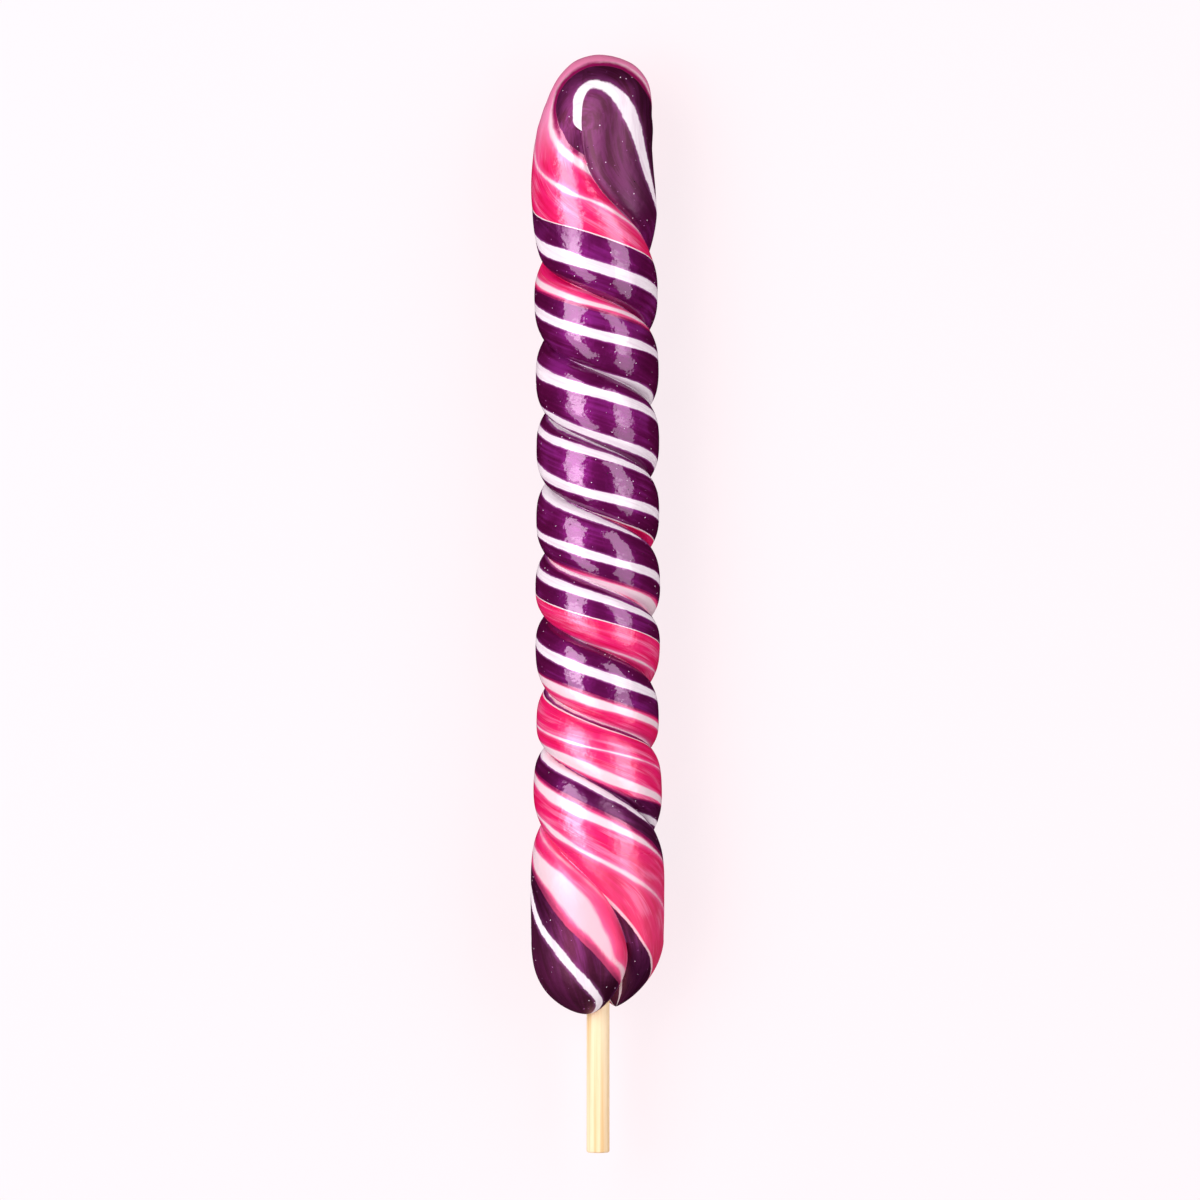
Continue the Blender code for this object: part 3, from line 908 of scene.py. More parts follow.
class GeometryTree:
    """A Geometry Nodes tree with named inputs, and the modifier that runs it."""

    def __init__(self, name: str, sizes: dict[str, tuple[str, Any]]) -> None:
        """Make the tree and its interface.

        Args:
            name: The tree's name.
            sizes: Input names with their socket type and value.
        """
        self.tree = bpy.data.node_groups.new(name, "GeometryNodeTree")
        self.graph = Graph(self.tree)
        face = self.tree.interface
        face.new_socket("Geometry", in_out="INPUT", socket_type="NodeSocketGeometry")
        face.new_socket("Geometry", in_out="OUTPUT", socket_type="NodeSocketGeometry")
        self.sizes = {}
        for label, (kind, value) in sizes.items():
            socket = face.new_socket(label, in_out="INPUT", socket_type=kind)
            self.sizes[socket.identifier] = value
        self.source = self.graph.add("NodeGroupInput")

    def given(self, name: str) -> Wire:
        """One of the tree's inputs."""
        return Wire(self.graph, self.source.outputs[name])

    def attribute(self, name: str, kind: str = "FLOAT_VECTOR") -> Wire:
        """A named attribute of the incoming mesh."""
        return self.graph.wire("GeometryNodeInputNamedAttribute", {"data_type": kind}, {"Name": name})

    def close(self, geometry: Wire, material: str) -> None:
        """Realize, set the material and lead to the output.

        Args:
            geometry: What the tree has made.
            material: Name of the input that gives the material.
        """
        real = self.graph.wire("GeometryNodeRealizeInstances", {}, {0: geometry})
        dressed = self.graph.wire("GeometryNodeSetMaterial", {}, {
            "Geometry": real, "Material": self.given(material)})
        self.graph.add("NodeGroupOutput", {}, {0: dressed})

    def apply(self, thing: bpy.types.Object, name: str) -> bpy.types.Object:
        """Run the tree on an object and keep the result as a plain mesh.

        Args:
            thing: The object that carries the source mesh; it is removed.
            name: The finished object's name.

        Returns:
            The finished object, at the origin.
        """
        modifier = thing.modifiers.new(self.tree.name, "NODES")
        modifier.node_group = self.tree
        for identifier, value in self.sizes.items():
            modifier[identifier] = value
        bpy.context.view_layer.update()
        graph = bpy.context.evaluated_depsgraph_get()
        mesh = bpy.data.meshes.new_from_object(thing.evaluated_get(graph))
        mesh.name = name
        done = bpy.data.objects.new(name, mesh)
        bpy.context.scene.collection.objects.link(done)
        bpy.data.objects.remove(thing, do_unlink=True)
        return done


@dataclass(frozen=True)
class Sweep:
    """Folds, twists and lays down the flat rope, and makes it a little uneven; in metres."""

    unevenness: float = 0.00006
    unevenness_scale: float = 160.0
    seed: float = 4.0

    def build(self, rope: bpy.types.Object, material: bpy.types.Material) -> bpy.types.Object:
        """Run the tree on the flat rope.

        Args:
            rope: The rope laid out flat.
            material: Its finish.

        Returns:
            The finished candy.
        """
        job = GeometryTree("Twisted rope", {
            "Unevenness": ("NodeSocketFloat", self.unevenness),
            "Unevenness size": ("NodeSocketFloat", self.unevenness_scale),
            "Seed": ("NodeSocketFloat", self.seed),
            "Finish": ("NodeSocketMaterial", material)})
        swept = self._move(job.graph, job.given("Geometry"), "Position", self._spot(job))
        uneven = self._move(job.graph, swept, "Offset", self._push(job))
        x, y, z = job.graph.split(job.graph.wire("GeometryNodeInputPosition"))
        pressed = job.graph.join(x, y, job.graph.math("MAXIMUM", z, 0.0))
        job.close(self._move(job.graph, uneven, "Position", pressed), "Finish")
        return job.apply(rope, "candy_rope")

    @staticmethod
    def _move(graph: Graph, geometry: Wire, way: str, vector: Wire) -> Wire:
        """Move points to a Position or by an Offset."""
        return graph.wire("GeometryNodeSetPosition", {}, {"Geometry": geometry, way: vector})

    @staticmethod
    def _spot(job: GeometryTree) -> Wire:
        """Where a point of the flat rope goes.

        Args:
            job: The tree, whose mesh carries the point's attributes.

        Returns:
            Its place on the folded and twisted rope.
        """
        graph = job.graph
        outward, across, over = graph.split(job.attribute("section"))
        level = outward * graph.math("COSINE", over)
        rise = outward * graph.math("SINE", over)
        radius = graph.math("SQRT", level * level + across * across)
        angle = job.attribute("turn", "FLOAT") + graph.math("ARCTAN2", across, level)
        angle = angle - job.attribute("swing", "FLOAT") * graph.math("COSINE", angle)
        offset = graph.join(radius * graph.math("COSINE", angle), rise,
                            radius * graph.math("SINE", angle))
        return graph.vector("ADD", job.attribute("axis_place"), offset)

    @staticmethod
    def _push(job: GeometryTree) -> Wire:
        """How far the unevenness moves a point.

        Args:
            job: The tree, whose inputs give the unevenness.

        Returns:
            An offset along the surface's normal.
        """
        graph = job.graph
        lumps = graph.wire("ShaderNodeTexNoise", {"noise_dimensions": "4D"}, {
            "Vector": graph.wire("GeometryNodeInputPosition"), "W": job.given("Seed"),
            "Scale": job.given("Unevenness size"), "Detail": 1.0})
        return graph.wire("ShaderNodeVectorMath", {"operation": "SCALE"}, {
            0: graph.wire("GeometryNodeInputNormal"),
            "Scale": (lumps - 0.5) * job.given("Unevenness") * 2})


# ---------------------------------------------------------------- finishes

class SugarCues:
    """Wires that tell where a spot of the sugar lies, for its colours and shine to follow."""

    def __init__(self, graph: Graph, finish: "CandyFinish") -> None:
        """Read the rope's attributes and work out the masks.

        Args:
            graph: The material's graph.
            finish: The finish, which says where one look gives way to the next.
        """
        self.graph = graph
        white_gap, pale_gap, inside = graph.split(graph.stored("stripe"))
        from_cool, self.to_warm, _ = graph.split(graph.stored("pull"))
        self.strand = graph.stored("strand")
        metres = graph.wire("ShaderNodeTexCoord", {}, {}, "Object")
        self.place = graph.vector("MULTIPLY", metres, (1 / MM, 1 / MM, 1 / MM))
        self.fine = self._streaks(finish.fine_streaks)
        self.broad = self._streaks(finish.broad_streaks)
        self.cloud = self._streaks(finish.cloud_streaks)

        slow = graph.noise(self.place, finish.slow_wobble_scale, 1.0) - 0.5
        quick = graph.noise(self.place, finish.quick_wobble_scale, 2.0) - 0.5
        wobble = slow * finish.slow_wobble + quick * finish.quick_wobble
        self.from_cool = from_cool + wobble
        self.pale_gap = pale_gap + slow * finish.pale_wobble + self.fine * finish.pale_fraying
        self.in_white = 1 - graph.step(white_gap + wobble, *finish.white_edge)
        # Where the painted glow beside a milky stripe falls
        self.in_stripe_glow = 1 - graph.step(white_gap + wobble, *finish.stripe_glow_edge)
        self.in_pink = graph.step(inside + wobble * finish.pink_wobble_share, *finish.pink_edge)
        self.milky = self.in_white * (1 - self.in_pink)
        self.near_pink = 1 - graph.step(inside * -1.0, *finish.near_pink)

        up = graph.split(self.place)[1]
        down = up * -1.0
        # Painted light: the fold's rim faces sideways and gets less light, so its pink is painted
        # paler
        self.painted_fold_light = graph.step(up, *finish.painted_fold_light_span)
        self.dull_plum = graph.math("MAXIMUM", graph.step(up, *finish.dull_fold),
                                    graph.step(down, *finish.dull_lobes))
        self.dull_pink = graph.step(down, *finish.dull_pink_lobes)
        self.dull = graph.mix_number(self.in_pink, self.dull_plum, self.dull_pink)

    def _streaks(self, scales: tuple[float, float]) -> Wire:
        """Noise from 0 to 1 that is drawn out along the strand."""
        drawn_out = self.graph.vector("MULTIPLY", self.strand, (*scales, 1.0))
        return self.graph.noise(drawn_out, 1.0, 2.0, 0.55)

    def streaky(self, fine_share: float) -> Wire:
        """Fine and broad streaks together, from 0 to 1."""
        return self.fine * fine_share + self.broad * (1 - fine_share)


@dataclass(frozen=True)
class CandyFinish:
    """Striped boiled sugar: clear plum, milky white and pulled pink.

    A span gives where something starts and where it is complete. Spans of edges are in degrees
    round the rope, of folds and lobes in millimetres up or down from the part's middle, and of
    streaks in noise levels; streak scales are for a millimetre across and along the strand.
    """

    plum: Colour = linear(110, 14, 76)
    plum_deep: Colour = linear(84, 8, 52)
    # Painted glow: brighter purple that stands in for light shining through the clear sugar
    plum_painted_glow: Colour = linear(156, 44, 146)
    plum_sheen: Colour = linear(128, 34, 122)
    plum_haze: Colour = linear(118, 34, 98)
    # Painted glow: lighter purple beside the milky stripes, standing in for light scattered from the
    # white into the clear plum
    stripe_painted_glow: Colour = linear(188, 92, 176)
    white: Colour = linear(234, 222, 230)
    white_shade: Colour = linear(218, 196, 211)
    magenta: Colour = linear(146, 0, 82)
    crimson: Colour = linear(232, 0, 84)
    pink: Colour = linear(246, 22, 112)
    rose: Colour = linear(255, 112, 178)
    pale: Colour = linear(252, 222, 232)
    pink_sheen: Colour = linear(255, 124, 184)
    pink_haze: Colour = linear(228, 0, 90)
    blush: Colour = linear(255, 160, 204)
    sheen: Colour = (0.84, 0.72, 0.82)

    fine_streaks: tuple[float, float] = (4.5, 0.16)
    broad_streaks: tuple[float, float] = (0.8, 0.09)
    cloud_streaks: tuple[float, float] = (0.3, 0.07)
    slow_wobble_scale: float = 0.22
    quick_wobble_scale: float = 1.1
    slow_wobble: float = 5.0
    quick_wobble: float = 3.0
    pink_wobble_share: float = 0.6
    pale_wobble: float = 6.0
    pale_fraying: float = 3.0

    white_edge: Span = (-1.4, 0.6)
    stripe_glow_edge: Span = (0.2, 5.0)
    pink_edge: Span = (-0.7, 0.7)
    near_pink: Span = (26.0, 38.0)
    magenta_edge: Span = (3.5, 11.0)
    warm_line: Span = (2.2, 4.2)
    pale_line: Span = (-4.0, 1.5)
    pale_haze: Span = (-2.0, 10.0)
    # Where the painted light on the fold's rim sets in
    painted_fold_light_span: Span = (75.0, 87.0)
    dull_fold: Span = (60.0, 74.0)
    dull_lobes: Span = (28.0, 44.0)
    dull_pink_lobes: Span = (40.0, 54.0)
    white_streaks: Span = (0.4, 0.7)
    haze_streaks: Span = (0.4, 0.6)
    plum_clouds: Span = (0.35, 0.65)
    # Noise levels where the painted glow sets in
    painted_glow_levels: Span = (0.5, 0.68)
    pink_streaks: Span = (0.38, 0.6)
    pink_clouds: Span = (0.5, 0.66)

    plum_cloud_scale: float = 0.13
    broad_in_plum: float = 0.4
    fine_in_pink: float = 0.35
    fine_in_clouds: float = 0.3
    fine_in_white: float = 0.4
    fine_in_haze: float = 0.3
    stripe_glow_strength: float = 0.75
    painted_glow_strength: float = 0.6
    cloud_strength: float = 0.5
    rose_strength: float = 0.6
    painted_fold_light_strength: float = 0.75
    haze_strength: float = 0.8
    colour_in_pink_glow: float = 0.55

    # Depth of the ripples in metres, their scales for a millimetre, and their shares of the depth
    bump_depth: float = 0.00013
    ripple_scale: float = 0.5
    quick_ripple_scale: float = 1.3
    quick_ripple: float = 0.12
    streak_relief: float = 0.15
    ridge_relief: float = 0.2
    # Plain, then what broad streaks, pulled sugar (on the glaze only) and dull places add
    silk_roughness: tuple[float, float, float] = (0.34, 0.12, 0.14)
    glaze_roughness: tuple[float, float, float, float] = (0.05, 0.05, 0.13, 0.42)
    glaze_ior: float = 1.7
    glaze_share: float = 0.6
    pulled_share: float = 0.8
    dull_plum_loss: float = 0.45
    near_pink_loss: float = 0.3
    dull_pink_loss: float = 0.2

    def material(self) -> bpy.types.Material:
        """Build the candy's material, a silky layer and a glazed one mixed.

        Returns:
            The material.
        """
        material, graph = new_material("striped_sugar")
        cues = SugarCues(graph, self)
        plum, pink, white = self._plum(cues), self._pink(cues), self._white(cues)
        colour = graph.mix(cues.milky, graph.mix(cues.in_pink, plum, pink), white)
        glow = graph.mix(cues.milky, self._glow(cues, pink), white)
        bump = self._bump(cues)
        plain, streaked, dull = self.silk_roughness
        silk = graph.principled({
            "Base Color": glow, "Roughness": plain + streaked * cues.broad + dull * cues.dull,
            "Normal": bump, "Metallic": 1 - cues.milky, "Specular IOR Level": 0.5})
        plain, streaked, pulled, dull = self.glaze_roughness
        in_pulled = graph.math("MAXIMUM", cues.in_pink, cues.in_white)
        glaze = graph.principled({
            "Base Color": colour,
            "Roughness": plain + streaked * cues.broad + pulled * in_pulled + dull * cues.dull,
            "Normal": bump, "IOR": self.glaze_ior, "Specular IOR Level": 1.0,
            "Specular Tint": (*self.sheen, 1.0)})
        graph.show(graph.wire("ShaderNodeMixShader", {}, {
            0: self._glaze_share(cues), 1: silk, 2: glaze}))
        return material

    def _plum(self, cues: SugarCues) -> Wire:
        """Clear plum sugar, deeper in random clouds, with painted glow in some clouds and streaks and
        beside a milky stripe.

        Args:
            cues: Where the sugar lies.

        Returns:
            Its colour.
        """
        graph = cues.graph
        clouds = graph.noise(cues.place, self.plum_cloud_scale, 2.0)
        lit = clouds * (1 - self.broad_in_plum) + cues.broad * self.broad_in_plum
        colour = graph.mix(graph.step(lit, *self.plum_clouds), self.plum_deep, self.plum)
        # Painted glow: brighter purple in some clouds and streaks, standing in for light shining
        # through the clear sugar; none on the fold and the lobes
        light = graph.step(lit, *self.painted_glow_levels) * self.painted_glow_strength * (1 - cues.dull_plum)
        colour = graph.mix(light, colour, self.plum_painted_glow)
        # Painted glow beside each milky stripe
        return graph.mix(cues.in_stripe_glow * self.stripe_glow_strength, colour, self.stripe_painted_glow)

    def _pink(self, cues: SugarCues) -> Wire:
        """Pulled pink sugar: pale streaks, a deep cool edge, a pale warm edge and painted light on the
        fold's rim.

        Args:
            cues: Where the sugar lies.

        Returns:
            Its colour.
        """
        graph = cues.graph
        streaks = graph.step(cues.streaky(self.fine_in_pink), *self.pink_streaks)
        clouds = cues.cloud * (1 - self.fine_in_clouds) + cues.fine * self.fine_in_clouds
        cloud = graph.step(clouds, *self.pink_clouds)
        haze = 1 - graph.step(cues.pale_gap, *self.pale_haze)
        colour = graph.mix(streaks, self.crimson, self.pink)
        colour = graph.mix(cloud * self.cloud_strength, colour, self.blush)
        colour = graph.mix(haze * self.rose_strength, colour, self.rose)
        # Painted light: paler pink on the fold's rim, where it faces sideways and is shaded
        colour = graph.mix(cues.painted_fold_light * self.painted_fold_light_strength, colour, self.blush)
        colour = graph.mix(1 - graph.step(cues.pale_gap, *self.pale_line), colour, self.pale)
        colour = graph.mix(1 - graph.step(cues.from_cool, *self.magenta_edge), colour, self.magenta)
        return graph.mix(1 - graph.step(cues.to_warm, *self.warm_line), colour, self.pale)

    def _white(self, cues: SugarCues) -> Wire:
        """Colour of the milky sugar, with faint streaks."""
        shade = cues.graph.step(cues.streaky(self.fine_in_white), *self.white_streaks)
        return cues.graph.mix(shade, self.white, self.white_shade)

    def _glow(self, cues: SugarCues, pink: Wire) -> Wire:
        """Colour of the silky layer under the plum and the pink.

        Args:
            cues: Where the sugar lies.
            pink: Colour of the pink sugar.

        Returns:
            The colour, duller on the fold and the lobes.
        """
        graph = cues.graph
        streaks = graph.step(cues.streaky(self.fine_in_haze), *self.haze_streaks)
        haze = graph.mix(streaks, self.plum_deep, self.plum_haze)
        plum_glow = graph.mix(cues.dull_plum, self.plum_sheen, haze)
        pink_glow = graph.mix(self.colour_in_pink_glow, self.pink_sheen, pink)
        pink_glow = graph.mix(cues.dull_pink * self.haze_strength, pink_glow, self.pink_haze)
        return graph.mix(cues.in_pink, plum_glow, pink_glow)

    def _bump(self, cues: SugarCues) -> Wire:
        """Ripples of the surface, and fine ridges on the pulled sugar.

        Args:
            cues: Where the sugar lies.

        Returns:
            The bumped normal.
        """
        graph = cues.graph
        slow = graph.noise(cues.place, self.ripple_scale, 2.0)
        quick = graph.noise(cues.place, self.quick_ripple_scale, 1.0)
        height = (slow + quick * self.quick_ripple + cues.broad * self.streak_relief
                  + cues.fine * cues.in_pink * self.ridge_relief)
        return graph.wire("ShaderNodeBump", {}, {
            "Strength": 1.0, "Distance": self.bump_depth, "Height": height})

    def _glaze_share(self, cues: SugarCues) -> Wire:
        """How much of the light the glazed layer takes, less where the sugar is dull.

        Args:
            cues: Where the sugar lies.

        Returns:
            The share, from 0 to 1.
        """
        loss = cues.dull_plum * (self.dull_plum_loss + self.near_pink_loss * cues.near_pink)
        pink_share = self.pulled_share - self.dull_pink_loss * cues.dull_pink
        return cues.graph.mix_number(cues.in_pink, self.glaze_share * (1 - loss), pink_share)


@dataclass(frozen=True)
class BubbleFinish:
    """Air bubbles: most catch the light, a few look dark."""

    light: Colour = linear(250, 226, 246)
    soft: Colour = linear(178, 96, 168)
    dark: Colour = linear(40, 4, 30)
    roughness: float = 0.25

    def material(self) -> bpy.types.Material:
        """Build the bubbles' material.

        Returns:
            The material.
        """
        material, graph = new_material("bubbles")
        stops = ((0.0, self.dark), (0.2, self.dark), (0.3, self.soft), (0.6, self.soft),
                 (0.75, self.light))
        colour = graph.wire("ShaderNodeValToRGB", {"stops": stops}, {0: graph.stored("tone", "Fac")})
        graph.show(graph.principled({"Base Color": colour, "Roughness": self.roughness}))
        return material


@dataclass(frozen=True)
class WoodFinish:
    """Plain smooth birch with fine grain along it; the scales are for a metre."""

    cream: Colour = linear(240, 214, 177)
    tan: Colour = linear(224, 183, 130)
    dark: Colour = linear(205, 160, 105)
    fibre_scales: tuple[float, float, float] = (6000.0, 160.0, 6000.0)
    band_scales: tuple[float, float, float] = (1100.0, 22.0, 1100.0)
    band_edge: Span = (0.35, 0.7)
    fibre_edge: Span = (0.58, 0.8)
    fibre_strength: float = 0.45
    roughness: float = 0.5
    fibre_roughness: float = 0.2
    bump_strength: float = 0.6
    bump_depth: float = 0.00008

    def material(self) -> bpy.types.Material:
        """Build the stick's material.

        Returns:
            The material.
        """
        material, graph = new_material("birch")
        place = graph.wire("ShaderNodeTexCoord", {}, {}, "Object")
        fibre = graph.noise(graph.vector("MULTIPLY", place, self.fibre_scales), 1.0, 3.0, 0.6)
        band = graph.noise(graph.vector("MULTIPLY", place, self.band_scales), 1.0, 2.0)
        colour = graph.mix(graph.step(band, *self.band_edge), self.cream, self.tan)
        dark_share = graph.step(fibre, *self.fibre_edge) * self.fibre_strength
        bump = graph.wire("ShaderNodeBump", {}, {
            "Strength": self.bump_strength, "Distance": self.bump_depth, "Height": fibre})
        graph.show(graph.principled({
            "Base Color": graph.mix(dark_share, colour, self.dark),
            "Roughness": self.roughness + self.fibre_roughness * fibre, "Normal": bump}))
        return material


@dataclass(frozen=True)
class GlowingFinish:
    """A pale sheet lit from behind, so that what lies on it hardly throws a shadow."""

    name: str
    colour: Colour
    lit_share: float

    def material(self) -> bpy.types.Material:
        """Build the material.

        Returns:
            The material, part lit by the lamps and part by itself.
        """
        material, graph = new_material(self.name)
        front = tuple(self.lit_share * c for c in self.colour)
        graph.show(graph.principled({
            "Base Color": (*front, 1.0), "Roughness": 1.0, "Specular IOR Level": 0.0,
            "Emission Color": (*self.colour, 1.0), "Emission Strength": 1 - self.lit_share}))
        return material


# ---------------------------------------------------------------- the pieces

@dataclass
class Candy:
    """The striped rope."""

    form: RopeForm = field(default_factory=RopeForm)
    sweep: Sweep = field(default_factory=Sweep)
    finish: CandyFinish = field(default_factory=CandyFinish)

    def build(self) -> bpy.types.Object:
        """Make the rope in place of its solid.

        Returns:
            The candy, riding on the body.
        """
        rope = Rope(self.form, ROPE_LINES).grid()
        candy = self.sweep.build(rope, self.finish.material())
        self._turn_out(candy.data)
        candy.data.shade_smooth()
        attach(candy, "root")
        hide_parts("candy")
        return candy

    @staticmethod
    def _turn_out(mesh: bpy.types.Mesh) -> None:
        """Make every face point outwards.

        Args:
            mesh: The closed mesh to change.
        """
        shell = bmesh.new()
        shell.from_mesh(mesh)
        bmesh.ops.recalc_face_normals(shell, faces=shell.faces)
        shell.to_mesh(mesh)
        shell.free()


@dataclass
class Bubbles:
    """Tiny air bubbles caught just under the clear sugar; lengths are in metres."""

    per_square_metre: float = 1.6e5
    spacing: float = 0.0007
    radius: float = 0.00011
    smallest: float = 0.45
    largest: float = 1.15
    flatness: float = 0.4
    clear_of_white: Span = (2.0, 4.0)
    clear_of_pink: Span = (-4.0, -2.0)
    seed: int = 11
    finish: BubbleFinish = field(default_factory=BubbleFinish)

    def build(self, candy: bpy.types.Object) -> bpy.types.Object:
        """Scatter the bubbles over the plum sugar.

        Args:
            candy: The finished rope, whose mesh is read.

        Returns:
            The bubbles, riding on the body.
        """
        job = GeometryTree("Bubbles", {
            "Per square metre": ("NodeSocketFloat", self.per_square_metre),
            "Spacing": ("NodeSocketFloat", self.spacing),
            "Radius": ("NodeSocketFloat", self.radius),
            "Seed": ("NodeSocketInt", self.seed),
            "Finish": ("NodeSocketMaterial", self.finish.material())})
        placed = self._placed(job, self._spots(job))
        tone = job.graph.wire("FunctionNodeRandomValue", {"data_type": "FLOAT"}, {
            2: 0.0, 3: 1.0, "Seed": self.seed + 1}, 1)
        toned = job.graph.wire(
            "GeometryNodeStoreNamedAttribute", {"data_type": "FLOAT", "domain": "INSTANCE"},
            {"Geometry": placed, "Name": "tone", "Value": tone})
        job.close(toned, "Finish")
        source = bpy.data.objects.new("bubble_source", candy.data.copy())
        bpy.context.scene.collection.objects.link(source)
        bubbles = job.apply(source, "sugar_bubbles")
        bubbles.data.shade_smooth()
        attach(bubbles, "root")
        return bubbles

    def _spots(self, job: GeometryTree) -> bpy.types.Node:
        """Points on the plum sugar, clear of the milky stripes and of the pink.

        Args:
            job: The tree.

        Returns:
            The node that gives the points and their rotation.
        """
        graph = job.graph
        white_gap, _, inside = graph.split(job.attribute("stripe"))
        off_white = graph.step(white_gap, *self.clear_of_white)
        off_pink = 1 - graph.step(inside, *self.clear_of_pink)
        return graph.add("GeometryNodeDistributePointsOnFaces", {"distribute_method": "POISSON"}, {
            "Mesh": job.given("Geometry"), "Distance Min": job.given("Spacing"),
            "Density Max": job.given("Per square metre"), "Density Factor": off_white * off_pink,
            "Seed": job.given("Seed")})

    def _placed(self, job: GeometryTree, spots: bpy.types.Node) -> Wire:
        """A flattened bubble at every spot.

        Args:
            job: The tree.
            spots: The node that gives the points and their rotation.

        Returns:
            The instances.
        """
        graph = job.graph
        drop = graph.wire("GeometryNodeMeshIcoSphere", {}, {
            "Radius": job.given("Radius"), "Subdivisions": 1})
        size = graph.wire("FunctionNodeRandomValue", {"data_type": "FLOAT"}, {
            2: self.smallest, 3: self.largest, "Seed": job.given("Seed")}, 1)
        return graph.wire("GeometryNodeInstanceOnPoints", {}, {
            "Points": Wire(graph, spots.outputs["Points"]), "Instance": drop,
            "Rotation": Wire(graph, spots.outputs["Rotation"]),
            "Scale": graph.join(size, size, size * self.flatness)})


@dataclass
class Stick:
    """The round wooden stick."""

    rounding: float = 0.35
    rounding_steps: int = 5
    sides: int = 48
    rings: int = 60
    sharp_angle: float = 50.0
    finish: WoodFinish = field(default_factory=WoodFinish)

    def build(self) -> bpy.types.Object:
        """Make the stick in place of its solid.

        Returns:
            The stick, riding on the body.
        """
        mesh = self._mesh(*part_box("stick"))
        mesh.shade_smooth()
        mesh.set_sharp_from_angle(angle=math.radians(self.sharp_angle))
        mesh.materials.append(self.finish.material())
        stick = bpy.data.objects.new("wooden_stick", mesh)
        bpy.context.scene.collection.objects.link(stick)
        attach(stick, "root")
        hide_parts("stick")
        return stick

    def _profile(self, start: float, end: float, radius: float) -> list[tuple[float, float]]:
        """The stick's outline from one end to the other, in metres.

        Args:
            start: Place of the lower end.
            end: Place of the upper end.
            radius: The stick's radius.

        Returns:
            Points (along, radius), with both ends rounded.
        """
        edge = self.rounding * MM
        turns = [math.pi / 2 * k / self.rounding_steps for k in range(self.rounding_steps + 1)]
        foot = [(start + edge * (1 - math.cos(t)), radius - edge * (1 - math.sin(t))) for t in turns]
        span = end - start - 2 * edge
        shaft = [(start + edge + span * k / self.rings, radius) for k in range(1, self.rings)]
        return foot + shaft + [(end + start - y, r) for y, r in foot[::-1]]

    def _mesh(self, low: Sequence[float], high: Sequence[float]) -> bpy.types.Mesh:
        """Turn the outline round the stick's axis.

        Args:
            low: Lower corner of the solid's box.
            high: Upper corner of the solid's box.

        Returns:
            The mesh.
        """
        x, z = (high[0] + low[0]) / 2, (high[2] + low[2]) / 2
        angles = [2 * math.pi * k / self.sides for k in range(self.sides)]
        shell = bmesh.new()
        rows = [[shell.verts.new((x + r * math.cos(a), y, z + r * math.sin(a))) for a in angles]
                for y, r in self._profile(low[1], high[1], (high[0] - low[0]) / 2)]
        for first, second in zip(rows, rows[1:]):
            for k in range(self.sides):
                n = (k + 1) % self.sides
                shell.faces.new((first[k], first[n], second[n], second[k]))
        shell.faces.new(rows[0])
        shell.faces.new(rows[-1][::-1])
        bmesh.ops.recalc_face_normals(shell, faces=shell.faces)
        mesh = bpy.data.meshes.new("wooden_stick")
        shell.to_mesh(mesh)
        shell.free()
        return mesh


@dataclass(frozen=True)
class SoftBox:
    """A soft rectangular light, in metres and watts."""

    name: str
    place: tuple[float, float, float]
    size: tuple[float, float]
    power: float

    def build(self, target: Vector) -> None:
        """Hang the light so that it faces a target.

        Args:
            target: The point that it faces.
        """
        data = bpy.data.lights.new(self.name, "AREA")
        data.shape = "RECTANGLE"
        data.size, data.size_y = self.size
        data.energy = self.power
        light = bpy.data.objects.new(self.name, data)
        light.location = self.place
        light.rotation_euler = (target - Vector(self.place)).to_track_quat("-Z", "Y").to_euler()
        bpy.context.scene.collection.objects.link(light)


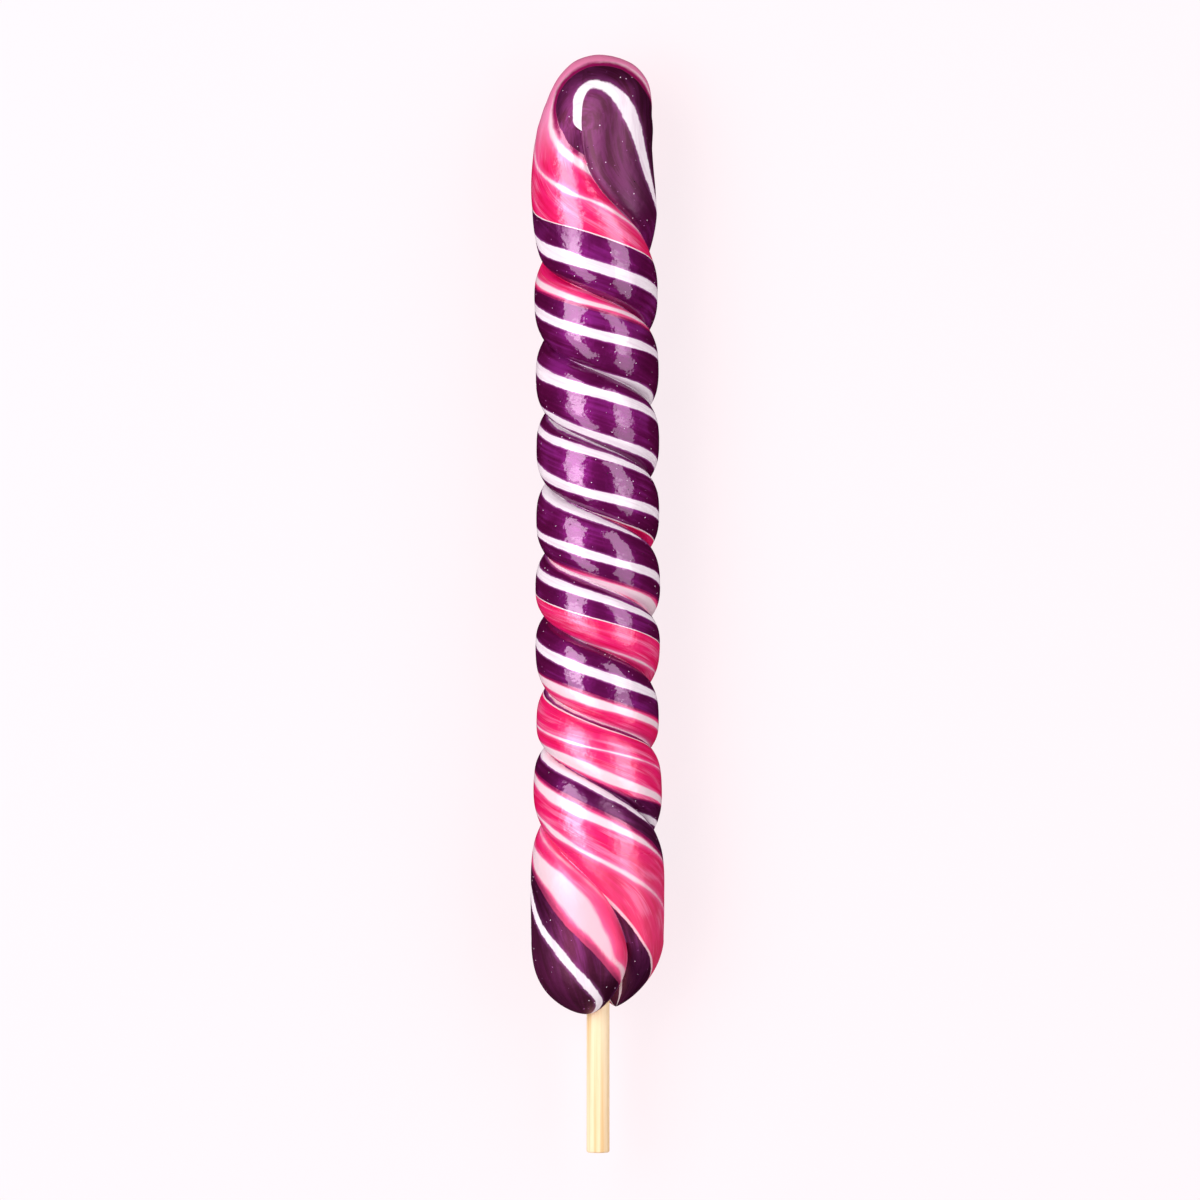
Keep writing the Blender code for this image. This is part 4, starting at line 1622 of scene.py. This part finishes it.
@dataclass
class Studio:
    """The pale floor, the soft lights and the camera that looks straight down; in metres."""

    frame_width: float = 0.2100
    camera_height: float = 1.6
    look_at: tuple[float, float] = (0.00044, 0.0006)
    # Height of the candy's middle, where the frame's width is measured
    candy_middle: float = 0.011
    sensor_width: float = 36.0
    view_distance: float = 20.0
    floor_reach: float = 3.0
    floor_colour: Colour = linear(254, 242, 246)
    floor_share: float = 0.15
    sky_colour: Colour = (1.0, 0.97, 0.98)
    sky_strength: float = 0.22
    light_target: tuple[float, float, float] = (0.0, 0.0, 0.01)
    # Two wide soft boxes beside the camera, and weaker ones towards the stick
    lights: tuple[SoftBox, ...] = (
        SoftBox("soft_box_left", (-0.66, 0.34, 0.82), (1.0, 0.7), 10.5),
        SoftBox("soft_box_right", (0.76, 0.34, 0.73), (0.9, 0.7), 5.6),
        SoftBox("skirt_left", (-0.66, -0.38, 0.82), (1.0, 0.7), 6.2),
        SoftBox("skirt_right", (0.76, -0.38, 0.73), (0.9, 0.7), 4.0))

    def build(self) -> None:
        """Set everything up."""
        self._floor()
        self._world()
        for light in self.lights:
            light.build(Vector(self.light_target))
        self._camera()

    def _floor(self) -> None:
        """A wide plain floor."""
        shell = bmesh.new()
        bmesh.ops.create_grid(shell, x_segments=1, y_segments=1, size=self.floor_reach)
        mesh = bpy.data.meshes.new("floor")
        shell.to_mesh(mesh)
        shell.free()
        mesh.materials.append(GlowingFinish("floor", self.floor_colour, self.floor_share).material())
        floor = bpy.data.objects.new("floor", mesh)
        bpy.context.scene.collection.objects.link(floor)
        floor.visible_glossy = False
        floor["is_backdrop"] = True

    def _world(self) -> None:
        """Even light from all round."""
        world = bpy.data.worlds.new("studio")
        bpy.context.scene.world = world
        world.use_nodes = True
        graph = Graph(world.node_tree)
        glow = graph.wire("ShaderNodeBackground", {}, {
            "Color": (*self.sky_colour, 1.0), "Strength": self.sky_strength})
        graph.add("ShaderNodeOutputWorld", {}, {"Surface": glow})
        world.cycles_visibility.glossy = False

    def _camera(self) -> None:
        """A long lens straight above."""
        data = bpy.data.cameras.new("camera")
        data.sensor_width = self.sensor_width
        data.sensor_fit = "HORIZONTAL"
        data.lens = data.sensor_width * (self.camera_height - self.candy_middle) / self.frame_width
        data.clip_end = self.view_distance
        camera = bpy.data.objects.new("camera", data)
        camera.location = (*self.look_at, self.camera_height)
        bpy.context.scene.collection.objects.link(camera)
        bpy.context.scene.camera = camera
        bpy.context.scene.view_settings.view_transform = "Standard"


def corners() -> list[list[float]]:
    """The part's box as plain lists."""
    low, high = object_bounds()
    return [[float(v) for v in low], [float(v) for v in high]]


def report(name: str, made: bpy.types.Object) -> None:
    """Log a finished piece."""
    log.info("%s: %d faces", name, len(made.data.polygons))


def main() -> None:
    """Build the lollipop and its studio."""
    logging.basicConfig(level=logging.INFO, format="%(message)s")
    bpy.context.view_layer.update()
    candy = Candy().build()
    report("candy", candy)
    report("bubbles", Bubbles().build(candy))
    report("stick", Stick().build())
    Studio().build()


if __name__ == "__main__":
    main()
